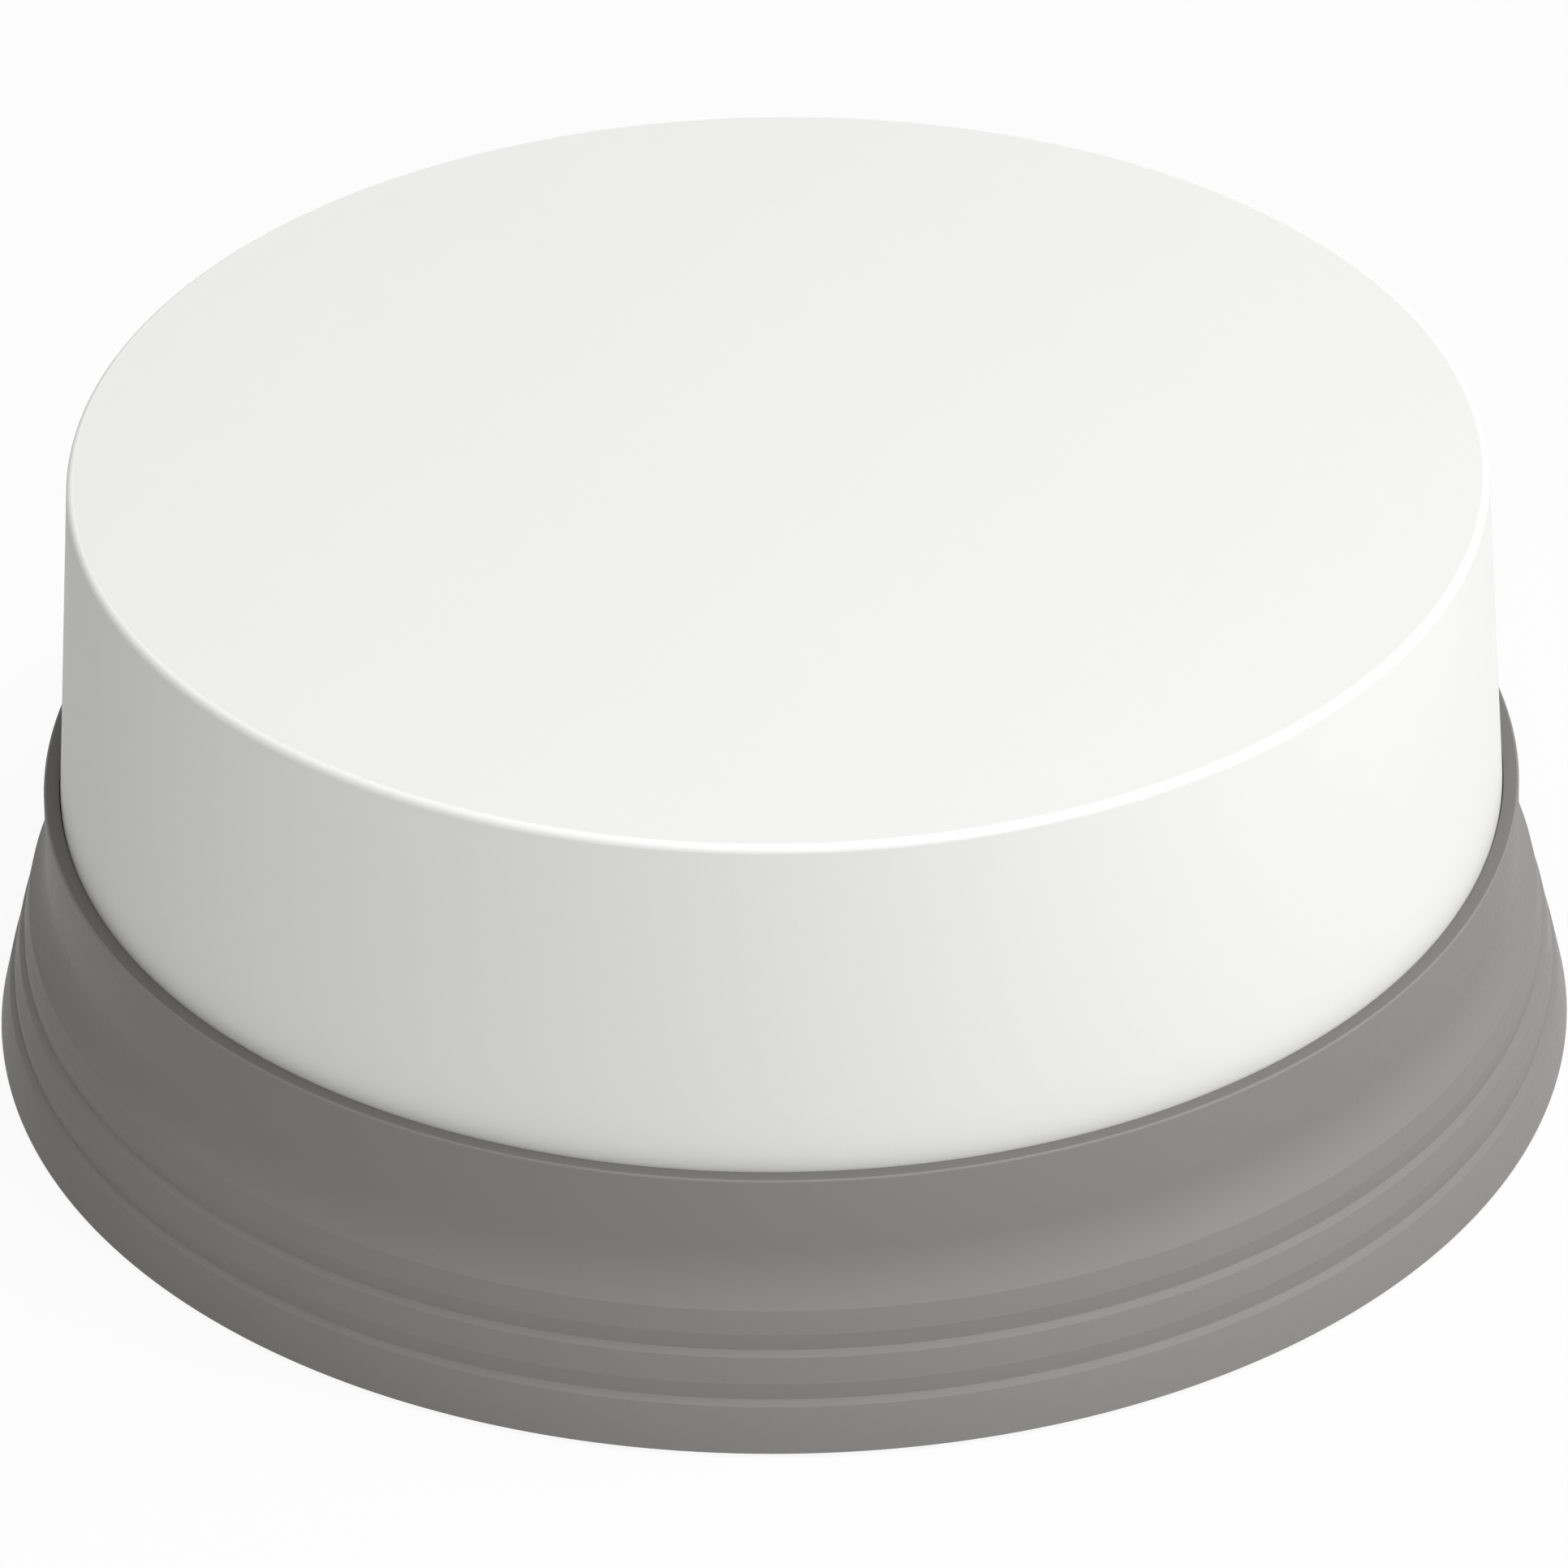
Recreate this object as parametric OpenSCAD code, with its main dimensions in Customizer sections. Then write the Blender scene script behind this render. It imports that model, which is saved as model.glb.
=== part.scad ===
/* [Body] */
// Diameter of the flared base at the surface that it is mounted on
base_d = 76.2; // [76:0.1:77]
// Height of the base, from that surface to the lip round the cap
base_h = 13.3; // [13.3:0.1:13.8]
// Diameter of the cap where it enters the lip
cap_d = 69.2; // [69:0.1:69.4]
// Height that the cap stands above the lip
cap_rise = 16.8; // [16.8:0.1:18]
// Draft of the cap's side wall, in degrees
cap_draft = 3.65; // [3:0.05:4]
// Width of the 45 degree bevel round the cap's top
cap_bevel = 0.3; // [0.2:0.05:0.5]

/* [Base profile] */
// Clearance between the cap and the lip
cap_gap = 0.1; // [0.1:0.01:0.2]
// Distance from the cap's wall to the outer edge of the lip
lip_w = 0.8; // [0.75:0.05:0.9]
// Draft of the three risers of the flare, in degrees
riser_draft = 13; // [12:0.5:14]
// Heights at which the risers end, from the lowest up
riser_tops = [2.28, 4.62, 6.84];
// Height of the plain upright band above each of the two lower risers
band_h = 0.82; // [0.6:0.02:0.9]
// Width and height of the ledge between a riser and the band above it
ledge = [0.29, 0.25];
// Height at which the cove runs out into the upper wall
cove_top_z = 9.67; // [9.5:0.01:9.9]

/* [Mounting] */
// Thickness of the back plate
plate_t = 1.6; // [1.5:0.1:1.7]
// Pitch circle diameter of the press nuts that take the M4 mounting screws
mount_pcd = 46; // [45:0.5:46]
// Bore of the press nuts, the core diameter of M4
mount_bore_d = 3.3; // [3.2:0.1:3.4]
// Bore of the cable grommet
cable_d = 6; // [4:0.5:6]

/* [Mechanism] */
// Travel of the cap
travel = 2.5; // [2:0.1:2.5]
// Radius on which the three guide screws stand
guide_r = 20; // [19.8:0.1:20]
// Diameter of the ground shoulder of the guide screws
shoulder_d = 4; // [3.9:0.1:4]
// Mean diameter of the return springs
spring_d = 10.2; // [10:0.1:10.3]
// Wire diameter of the return springs
wire_d = 0.9; // [0.8:0.1:0.9]
// Active curls of each return spring, between its two closer end curls
spring_curls = 5; // [4:1:5]
// Angle at which the switch lever stands above its case at rest
lever_angle = 9.5; // [9:0.1:9.5]

/* [Hidden] */
$fn = 96;
slip = 0.05;
cut = 1;
rim_r = base_d / 2;
cap_r = cap_d / 2;
lip_r = cap_r + lip_w;
bore_r = cap_r + cap_gap;
top_z = base_h + cap_rise;

// Base ring: the wall steps inwards from the bore to a flange, which carries the chassis
flange_top = 9.0;
flange_t = 2.0;
flange_r = 26.5;
skirt_r = 31.4;
plate_r = 34.4;
plate_seat_r = 34.5;
plate_screw_r = 31.0;
plate_boss_r = 3.0;
plate_insert_len = 4.4;
deck_screw_r = 30.2;
gasket_in = 35.2;
gasket_out = 36.9;
gasket_t = 1.2;
stop_in = 32.9;
stop_out = 34.3;
stop_top = 9.3;

// Chassis
deck_top = 11.2;
deck_r = 32.4;
spigot_z = 7.2;
collar_in = 25.9;
collar_out = 28.2;
collar_top = 16.8;
wiper_z = 15.2;
wiper_wire_r = 0.7;
sleeve_r = 4.1;
sleeve_top = 12.4;
bush_wall = 0.8;
bush_flange_t = 0.6;
spring_seat_r = 5.8;
spring_seat_z = 10.8;

// Cap
cap_wall = 1.8;
cap_top_t = 2.4;
ceiling = top_z - cap_top_t;
cap_foot = 11.9;
guard_in = 28.55;
guard_out = 30.0;
guard_foot = 14.0;
boss_r = 4.0;
boss_foot = 15.6;
pad_r = 6.4;
pad_z = 25.0;
rib_t = 1.2;
rib_z = 24.3;
insert_r = 2.0;
insert_bore_r = 1.5;
insert_len = 5.0;

// Guide screws
head_r = 3.3;
head_t = 2.0;
washer_t = 0.45;
head_top = spigot_z - slip - washer_t;
screw_r = insert_bore_r - slip;

// Switch, a subminiature snap-action type, whose lever tip lies on the cap's axis
case_size = [19.8, 6.4, 9.2];
case_x = -7;
case_top = deck_top + case_size[2];
pivot = [-15, case_top + 0.4];
lever_t = 0.4;
lever_tip_x = 3;
lever_w = 4.2;
knuckle_r = 0.8;
pin_r = 0.4;
plunger_x = -9.2;
plunger_r = 1.2;
plunger_top = pivot[1] + (plunger_x - pivot[0]) * tan(lever_angle) - 0.19;
switch_hole_dx = 9.5;
switch_hole_z = 14.6;
switch_screw_r = 1.0;
tab_xs = [-14.2, -7, 0.2];
tab_size = [3.2, 0.5];
tab_foot = 6.6;
lever_top_z = pivot[1] - pivot[0] * tan(lever_angle) + lever_t / cos(lever_angle);
striker_tip = lever_top_z + 0.12;
striker_r = 2.4;
dome_r = 6;

// Switch bracket
plate2_t = 1.0;
bracket_y = case_size[1] / 2 + 0.1;
bracket_top = 18.4;
foot_x = [-19.4, 5.4];
foot_out = 9.4;
foot_screw_dx = 20;
foot_screw_y = 7;

// Terminal block and the two leads under the deck
block_size = [12, 8, 8];
block_y = -15;
pole_dx = 5;
pin_y = -13;
lead_r = 0.7;
lead_bend = 1.5;
cable_port = [8.5, -19];
cable_port_r = 2.0;

// Points of an arc round c, from angle a to angle b
function arc(c, r, a, b, n = 6) =
    [for (i = [0:n]) let (t = a + (b - a) * i / n) [c[0] + r * cos(t), c[1] + r * sin(t)]];

// Repeats its children n times round the axis, at radius r
module polar(n, r, start = 0) {
    for (i = [0:n - 1]) rotate(start + 360 * i / n) translate([r, 0, 0]) children();
}

// Places its children at the three guide screws
module at_guides() {
    polar(3, guide_r, 90) children();
}

module ring(r_in, r_out, z0, z1) {
    rotate_extrude() translate([r_in, z0]) square([r_out - r_in, z1 - z0]);
}

module rod(r, z0, z1) {
    translate([0, 0, z0]) cylinder(r = r, h = z1 - z0);
}

// Ring of round section
module o_ring(r, wire_r, z) {
    translate([0, 0, z]) rotate_extrude() translate([r, 0]) circle(r = wire_r, $fn = 24);
}

// Threaded insert: a sleeve with two knurled bands, standing a little proud of a waist
module insert(r, bore, z0, len) {
    band = len / 3;
    difference() {
        union() {
            rod(r - 0.15, z0, z0 + len);
            rod(r, z0, z0 + band);
            rod(r, z0 + 2 * band, z0 + len);
        }
        rod(bore, z0 - cut, z0 + len + cut);
    }
}

// Pan-head screw that points down, with a hexagon socket; its head stands on z
module pan_screw(r, head_r, head_h, len, z) {
    rim = head_h * 0.35;
    difference() {
        union() {
            rod(r, z - len, z + head_h / 2);
            rotate_extrude() polygon(concat([[0, z], [head_r, z]],
                arc([head_r - rim, z + head_h - rim], rim, 0, 90, 4), [[0, z + head_h]]));
        }
        translate([0, 0, z + head_h * 0.4]) cylinder(r = head_r * 0.48, h = head_h, $fn = 6);
    }
}

// ---- Base ring ----
riser_slope = tan(riser_draft);
riser1_r = rim_r - riser_tops[0] * riser_slope;
band1_r = riser1_r - ledge[0];
band1_top = riser_tops[0] + ledge[1] + band_h;
riser2_r = band1_r - (riser_tops[1] - band1_top) * riser_slope;
band2_r = riser2_r - ledge[0];
band2_top = riser_tops[1] + ledge[1] + band_h;
riser3_r = band2_r - (riser_tops[2] - band2_top) * riser_slope;
wall_r = lip_r + 0.03;
cove_w = riser3_r - wall_r;
cove_h = cove_top_z - riser_tops[2];
cove_r = (cove_w * cove_w + cove_h * cove_h) / (2 * cove_w);
cove_sweep = asin(cove_h / cove_r);
lip_round = 0.12;
bezel_outer = concat(
    [[rim_r, 0], [riser1_r, riser_tops[0]], [band1_r, riser_tops[0] + ledge[1]],
        [band1_r, band1_top], [riser2_r, riser_tops[1]], [band2_r, riser_tops[1] + ledge[1]],
        [band2_r, band2_top]],
    arc([wall_r + cove_r, cove_top_z], cove_r, 180 + cove_sweep, 180, 10),
    arc([lip_r - lip_round, base_h - lip_round], lip_round, 0, 90, 3));
bezel_inner = [
    [bore_r, base_h], [bore_r, flange_top], [stop_out, flange_top],
    [stop_out, flange_top - 1], [stop_in - slip, flange_top - 1], [stop_in - slip, flange_top],
    [28.8, flange_top], [28.8, flange_top - 0.8], [27.4, flange_top - 0.8], [27.4, flange_top],
    [flange_r, flange_top], [flange_r, flange_top - flange_t], [skirt_r, flange_top - flange_t],
    [skirt_r, plate_t], [plate_seat_r, plate_t], [plate_seat_r, 0], [gasket_in, 0],
    [gasket_in, gasket_t], [gasket_out, gasket_t], [gasket_out, 0]];

module bezel_ring() {
    pocket_n = 24;
    color([0.47, 0.47, 0.46]) difference() {
        union() {
            rotate_extrude() polygon(concat(bezel_outer, bezel_inner));
            intersection() {
                union() {
                    polar(6, plate_screw_r, 30) rod(plate_boss_r, plate_t, flange_top - 1.5);
                    polar(6, deck_screw_r) rod(2.2, 4.5, flange_top - 1.5);
                }
                rod(33.5, 0, flange_top);
            }
        }
        polar(6, plate_screw_r, 30) rod(insert_r + 0.02, plate_t - cut, 6.4);
        polar(6, deck_screw_r) rod(1.0, 5.0, flange_top + cut);
        // cored pockets between the outer wall and the inner skirt
        for (i = [0:pocket_n - 1])
            if (i % 4 != 1 && i % 4 != 2)
                rotate(i * 15 + 7.5 - 5.5) rotate_extrude(angle = 11)
                    translate([33.0, plate_t - 0.5]) square([1.4, 5.3]);
    }
}

module base_gasket() {
    lip = 0.25;
    color([0.12, 0.12, 0.12]) rotate_extrude() polygon([
        [gasket_in + slip, lip], [gasket_in + lip, 0], [gasket_out - lip, 0],
        [gasket_out - slip, lip], [gasket_out - slip, gasket_t - slip],
        [gasket_in + slip, gasket_t - slip]]);
}

// ---- Back ----
dish_r = 8.5;
dish_z = 1.4;
inlet_r = 5.0;

module back_plate() {
    bead = [11.5, 15.0];
    bead_h = 0.5;
    color([0.72, 0.73, 0.74]) difference() {
        rotate_extrude() polygon([
            [inlet_r, dish_z], [dish_r, dish_z], [dish_r + 1.4, 0], [bead[0], 0],
            [bead[0] + bead_h, bead_h], [bead[1] - bead_h, bead_h], [bead[1], 0],
            [plate_r - 0.2, 0], [plate_r, 0.2], [plate_r, plate_t],
            [bead[1] + 0.2, plate_t], [bead[1] - bead_h + 0.2, plate_t + bead_h],
            [bead[0] + bead_h - 0.2, plate_t + bead_h], [bead[0] - 0.2, plate_t],
            [dish_r + 2.0, plate_t], [dish_r + 0.6, dish_z + plate_t], [inlet_r, dish_z + plate_t]]);
        polar(3, mount_pcd / 2, 30) rod(2.8, -cut, plate_t + cut);
        polar(6, plate_screw_r, 30) {
            rod(1.6, -cut, plate_t + cut);
            translate([0, 0, -0.01]) cylinder(r1 = 3.0, r2 = 1.6, h = 1.4);
        }
    }
}

module press_nuts() {
    collar_r = 3.6;
    color([0.66, 0.66, 0.64]) polar(3, mount_pcd / 2, 30) difference() {
        union() {
            rod(2.8 - 0.02, 0.2, plate_t + 0.5);
            rotate_extrude() polygon([[0, plate_t], [collar_r, plate_t], [collar_r, 3.3],
                [collar_r - 0.5, 3.8], [0, 3.8]]);
        }
        rod(mount_bore_d / 2, -cut, 5);
    }
}

module cable_grommet() {
    flange = 6.8;
    low = 0.2;
    high = dish_z + plate_t + 1.2;
    fillet = 0.4;
    color([0.1, 0.1, 0.1]) rotate_extrude() polygon(concat(
        [[cable_d / 2, low], [flange - fillet, low]],
        arc([flange - fillet, low + fillet], fillet, -90, 0, 3),
        [[flange, dish_z - slip], [inlet_r - slip, dish_z - slip],
            [inlet_r - slip, dish_z + plate_t + slip], [flange, dish_z + plate_t + slip]],
        arc([flange - fillet, high - fillet], fillet, 0, 90, 3),
        [[cable_d / 2, high]]));
}

module plate_screws() {
    color([0.75, 0.76, 0.77]) polar(6, plate_screw_r, 30) difference() {
        union() {
            translate([0, 0, 0.1]) cylinder(r1 = 2.85, r2 = screw_r, h = 1.4);
            rod(screw_r, 1.2, 5.8);
        }
        translate([0, 0, -cut]) cylinder(r = 1.15, h = cut + 0.9, $fn = 6);
    }
}

module plate_inserts() {
    color([0.8, 0.65, 0.3]) polar(6, plate_screw_r, 30)
        insert(insert_r, insert_bore_r, plate_t + slip, plate_insert_len);
}

// ---- Chassis: deck, spigot, wiper collar and guide sleeves ----
module chassis() {
    sleeve_bore = shoulder_d / 2 + bush_wall + 0.1;
    rib_count = 12;
    color([0.16, 0.17, 0.18]) difference() {
        union() {
            rotate_extrude() polygon([
                [0, flange_top], [24.9, flange_top], [24.9, spigot_z], [flange_r - slip, spigot_z],
                [flange_r - slip, flange_top], [deck_r - 0.3, flange_top], [deck_r, flange_top + 0.3],
                [deck_r, deck_top - 0.3], [deck_r - 0.3, deck_top], [collar_out, deck_top],
                [collar_out, wiper_z - 0.8], [collar_out - 1.15, wiper_z - 0.8],
                [collar_out - 1.15, wiper_z + 0.8], [collar_out, wiper_z + 0.8],
                [collar_out, collar_top - 0.4], [collar_out - 0.4, collar_top],
                [collar_in, collar_top], [collar_in, deck_top], [0, deck_top]]);
            at_guides() rod(sleeve_r, spigot_z, sleeve_top);
            // stiffening ribs under the deck
            for (i = [0:rib_count - 1]) rotate(15 + 30 * i)
                translate([9, -0.6, spigot_z + 0.4]) cube([16.2, 1.2, 1.8]);
            ring(8.4, 9.6, spigot_z + 0.4, flange_top + 0.2);
        }
        at_guides() {
            rod(sleeve_bore, spigot_z - cut, sleeve_top + cut);
            difference() {
                rod(spring_seat_r, spring_seat_z, deck_top + cut);
                rod(sleeve_r, 0, deck_top + 2 * cut);
            }
        }
        polar(6, deck_screw_r) {
            rod(1.1, flange_top - cut, deck_top + cut);
            rod(1.95, deck_top - 1.3, deck_top + cut);
        }
        // slots for the switch's tabs, holes for the leads, a port for the field cable
        for (x = tab_xs) translate([x - 2, -1, spigot_z - cut]) cube([4, 2, 6]);
        for (s = [-1, 1]) translate([s * pole_dx / 2, pin_y, 0]) rod(1.1, spigot_z - cut, deck_top + cut);
        translate(cable_port) rod(cable_port_r, spigot_z - cut, deck_top + cut);
        for (s = [-0.5, 0.5]) translate([case_x + s * foot_screw_dx, foot_screw_y, 0])
            rod(1.0, flange_top + 0.3, deck_top + cut);
    }
}

module chassis_oring() {
    color([0.08, 0.08, 0.08]) o_ring(28.1, 0.38, flange_top - 0.41);
}

module chassis_screws() {
    color([0.75, 0.76, 0.77]) polar(6, deck_screw_r)
        pan_screw(0.95, 1.85, 1.2, 4.6, deck_top - 1.28);
}

module guide_bushes() {
    bush_out = shoulder_d / 2 + bush_wall + 0.05;
    color([0.93, 0.91, 0.84]) at_guides() difference() {
        union() {
            rod(bush_out, spigot_z + 0.02, sleeve_top + 0.1);
            rod(sleeve_r - 0.2, sleeve_top, sleeve_top + bush_flange_t);
        }
        rod(shoulder_d / 2 + slip, 0, sleeve_top + cut);
    }
}

module stop_ring() {
    bump = 0.35;
    color([0.1, 0.1, 0.1]) rotate_extrude() polygon(concat(
        [[stop_in, flange_top - 1], [stop_out - slip, flange_top - 1]],
        arc([stop_out - slip - bump, stop_top - bump], bump, 0, 90, 4),
        arc([stop_in + bump, stop_top - bump], bump, 90, 180, 4)));
}

module wiper_ring() {
    color([0.08, 0.08, 0.08]) o_ring(collar_out - 1.15 + wiper_wire_r, wiper_wire_r, wiper_z);
}

// ---- Switch on its bracket ----
module switch_bracket() {
    wall = [case_x - 8, case_x + 8];
    gusset = 2.6;
    color([0.7, 0.71, 0.72]) difference() {
        union() {
            translate([wall[0], bracket_y, deck_top]) cube([wall[1] - wall[0], plate2_t, bracket_top - deck_top]);
            translate([foot_x[0], bracket_y, deck_top])
                cube([foot_x[1] - foot_x[0], foot_out - bracket_y, plate2_t]);
            // pressed gussets that stiffen the bend
            for (x = [case_x - 0.4, wall[0] + 0.1, wall[1] - 0.9])
                translate([x, bracket_y + plate2_t - 0.01, deck_top + plate2_t - 0.01])
                    rotate([90, 0, 90]) linear_extrude(0.8) polygon([[0, 0], [gusset, 0], [0, gusset]]);
        }
        for (s = [-0.5, 0.5]) {
            translate([case_x + s * switch_hole_dx, 0, switch_hole_z]) rotate([-90, 0, 0]) rod(1.1, 0, 9);
            translate([case_x + s * foot_screw_dx, foot_screw_y, 0]) rod(1.3, 0, 20);
        }
        for (s = [-1, 1]) translate([s < 0 ? foot_x[0] - 1 : foot_x[1] - 1.4, foot_out - 1.4, deck_top - cut])
            rotate(0) difference() {
                cube([2.4, 2.4, 4]);
                translate([s < 0 ? 2.4 : 0, 0, 0]) rod(1.4, 0, 4);
            }
    }
}

module bracket_screws() {
    color([0.75, 0.76, 0.77]) for (s = [-0.5, 0.5])
        translate([case_x + s * foot_screw_dx, foot_screw_y, 0])
            pan_screw(0.95, 1.9, 1.3, 2.7, deck_top + plate2_t);
}

module switch_case() {
    base = [case_x - case_size[0] / 2, -case_size[1] / 2, deck_top];
    ear_r = 1.0;
    color([0.2, 0.2, 0.21]) difference() {
        union() {
            translate(base) cube(case_size);
            // ears that hold the lever's pin
            for (s = [-1, 1]) translate([pivot[0], s * 2.7, 0]) {
                translate([0, 0.5, pivot[1]]) rotate([90, 0, 0]) rod(ear_r, 0, 1);
                translate([-ear_r, -0.5, case_top - 0.5]) cube([2 * ear_r, 1, pivot[1] - case_top + 0.5]);
            }
            // turret round the plunger
            translate([plunger_x, 0, 0]) rod(1.7, case_top - 0.2, case_top + 0.15);
        }
        translate([pivot[0] - knuckle_r - 0.3, -2.2, case_top - knuckle_r - 0.2])
            cube([2 * knuckle_r + 0.6, 4.4, 4]);
        translate([pivot[0], 4, pivot[1]]) rotate([90, 0, 0]) rod(pin_r + 0.02, 0, 8);
        translate([plunger_x, 0, 0]) rod(plunger_r + slip, 16.5, case_top + cut);
        for (s = [-0.5, 0.5]) translate([case_x + s * switch_hole_dx, 5, switch_hole_z])
            rotate([90, 0, 0]) rod(1.1, 0, 10);
        for (x = tab_xs) translate([x - tab_size[0] / 2 - slip, -tab_size[1] / 2 - slip, deck_top - cut])
            cube([tab_size[0] + 2 * slip, tab_size[1] + 2 * slip, cut + 1.3]);
        // parting line of the case and its cover
        for (x = [base[0] - 0.9, base[0] + case_size[0] - 0.1])
            translate([x, 1.5, deck_top - cut]) cube([1, 0.2, case_size[2] + 2 * cut]);
        translate([base[0] - cut, 1.5, deck_top - 0.9]) cube([case_size[0] + 2 * cut, 0.2, 1]);
    }
}

module switch_terminals() {
    color([0.82, 0.8, 0.72]) for (x = tab_xs) difference() {
        translate([x, 0, 0]) union() {
            translate([-tab_size[0] / 2, -tab_size[1] / 2, tab_foot + 0.6])
                cube([tab_size[0], tab_size[1], deck_top + 1.2 - tab_foot - 0.6]);
            translate([-tab_size[0] / 4, -tab_size[1] / 2, tab_foot])
                cube([tab_size[0] / 2, tab_size[1], 1]);
        }
        translate([x, 1, tab_foot + 1.8]) rotate([90, 0, 0]) rod(0.6, 0, 2);
    }
}

module switch_screws() {
    color([0.75, 0.76, 0.77]) for (s = [-0.5, 0.5])
        translate([case_x + s * switch_hole_dx, -case_size[1] / 2, switch_hole_z])
            rotate([90, 0, 0]) pan_screw(switch_screw_r, 1.75, 1.3, 9.4, 0);
}

module switch_nuts() {
    nut_t = 1.6;
    color([0.75, 0.76, 0.77]) for (s = [-0.5, 0.5])
        translate([case_x + s * switch_hole_dx, bracket_y + plate2_t, switch_hole_z])
            rotate([-90, 0, 0]) difference() {
                rotate(30) cylinder(r = 2.3, h = nut_t, $fn = 6);
                rod(switch_screw_r + 0.02, -cut, nut_t + cut);
            }
}

module lever_pin() {
    color([0.8, 0.8, 0.8]) translate([pivot[0], 3.15, pivot[1]]) rotate([90, 0, 0]) rod(pin_r, 0, 6.3);
}

// Spring-steel lever: a rolled knuckle round the pin and a flanged blade
module switch_lever() {
    len = (lever_tip_x - pivot[0]) / cos(lever_angle);
    color([0.78, 0.79, 0.8]) translate([pivot[0], 0, pivot[1]]) rotate([0, -lever_angle, 0]) difference() {
        union() {
            translate([0, lever_w / 2, 0]) rotate([90, 0, 0]) rod(knuckle_r, 0, lever_w);
            translate([0, -lever_w / 2, 0]) cube([len - lever_w / 2, lever_w, lever_t]);
            translate([len - lever_w / 2, 0, 0]) rod(lever_w / 2, 0, lever_t);
        }
        translate([0, 5, 0]) rotate([90, 0, 0]) rod(pin_r + slip, 0, 10);
    }
}

module switch_plunger() {
    dome = 0.6;
    color([0.75, 0.2, 0.16]) translate([plunger_x, 0, 0]) rotate_extrude() polygon(concat(
        [[0, 18], [plunger_r, 18]], arc([plunger_r - dome, plunger_top - dome], dome, 0, 90, 4),
        [[0, plunger_top]]));
}

// ---- Terminal block and leads ----
module terminal_block() {
    low = deck_top;
    high = deck_top + block_size[2];
    color([0.2, 0.42, 0.28]) difference() {
        union() {
            translate([-block_size[0] / 2, block_y - block_size[1] / 2, low]) cube(block_size);
            translate([-block_size[0] / 2, block_y - block_size[1] / 2 - 0.8, low])
                cube([block_size[0], 1, 2.2]);
        }
        for (s = [-0.5, 0.5]) translate([s * pole_dx, block_y, 0]) {
            rod(1.9, high - 3, high + cut);
            translate([-1.6, -block_size[1] / 2 - 1, low + 2.4]) cube([3.2, 3.4, 2.6]);
        }
        for (s = [-0.5, 0.5]) translate([s * pole_dx, pin_y, 0]) rod(0.95, low - cut, low + 2.4);
        translate([-0.4, block_y - block_size[1] / 2 - 1, high - 2]) cube([0.8, block_size[1] + 2, 3]);
    }
}

module clamp_screws() {
    high = deck_top + block_size[2];
    color([0.78, 0.78, 0.74]) for (s = [-0.5, 0.5]) translate([s * pole_dx, block_y, 0]) difference() {
        rod(1.8, high - 2.9, high - 1.1);
        translate([-2, -0.3, high - 1.8]) cube([4, 0.6, 2]);
    }
}

function unit(v) = v / norm(v);

// One closed tube along a path, with the given number of sides; side is a direction never along it
module tube_along(path, r, sides, side) {
    n = len(path);
    dirs = [for (i = [0:n - 1]) unit(path[min(i + 1, n - 1)] - path[max(i - 1, 0)])];
    pts = [for (i = [0:n - 1]) let (u = unit(cross(side, dirs[i])), v = cross(dirs[i], u))
        for (k = [0:sides - 1]) path[i] + r * (cos(360 * k / sides) * u + sin(360 * k / sides) * v)];
    faces = concat(
        [[for (k = [0:sides - 1]) k]],
        [for (i = [0:n - 2], k = [0:sides - 1]) let (a = i * sides + k, b = i * sides + (k + 1) % sides)
            [a, a + sides, b]],
        [for (i = [0:n - 2], k = [0:sides - 1]) let (a = i * sides + k, b = i * sides + (k + 1) % sides)
            [b, a + sides, b + sides]],
        [[for (k = [sides - 1:-1:0]) (n - 1) * sides + k]]);
    polyhedron(points = pts, faces = faces);
}

// Each lead drops from a tab, runs level under the deck and rises into a pin hole of the block
module lead(from, to) {
    run = norm(to - from);
    way = (to - from) / run;
    start_z = tab_foot - slip;
    low_z = start_z - lead_bend;
    end_z = deck_top + 2.2;
    path2 = concat(
        [for (i = [0:4]) let (a = 90 * i / 4) [lead_bend * (1 - cos(a)), start_z - lead_bend * sin(a)]],
        [for (i = [1:2]) [lead_bend + (run - 2 * lead_bend) * i / 3, low_z]],
        [for (i = [0:4]) let (a = 90 * i / 4)
            [run - lead_bend + lead_bend * sin(a), low_z + lead_bend * (1 - cos(a))]],
        [[run, end_z]]);
    path = [for (p = path2) [from[0] + p[0] * way[0], from[1] + p[0] * way[1], p[1]]];
    tube_along(path, lead_r, 8, [-way[1], way[0], 0]);
}

module switch_leads() {
    color([0.75, 0.2, 0.15]) lead([tab_xs[0], 0], [-pole_dx / 2, pin_y]);
    color([0.15, 0.15, 0.16]) lead([tab_xs[1], 0], [pole_dx / 2, pin_y]);
}

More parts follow.
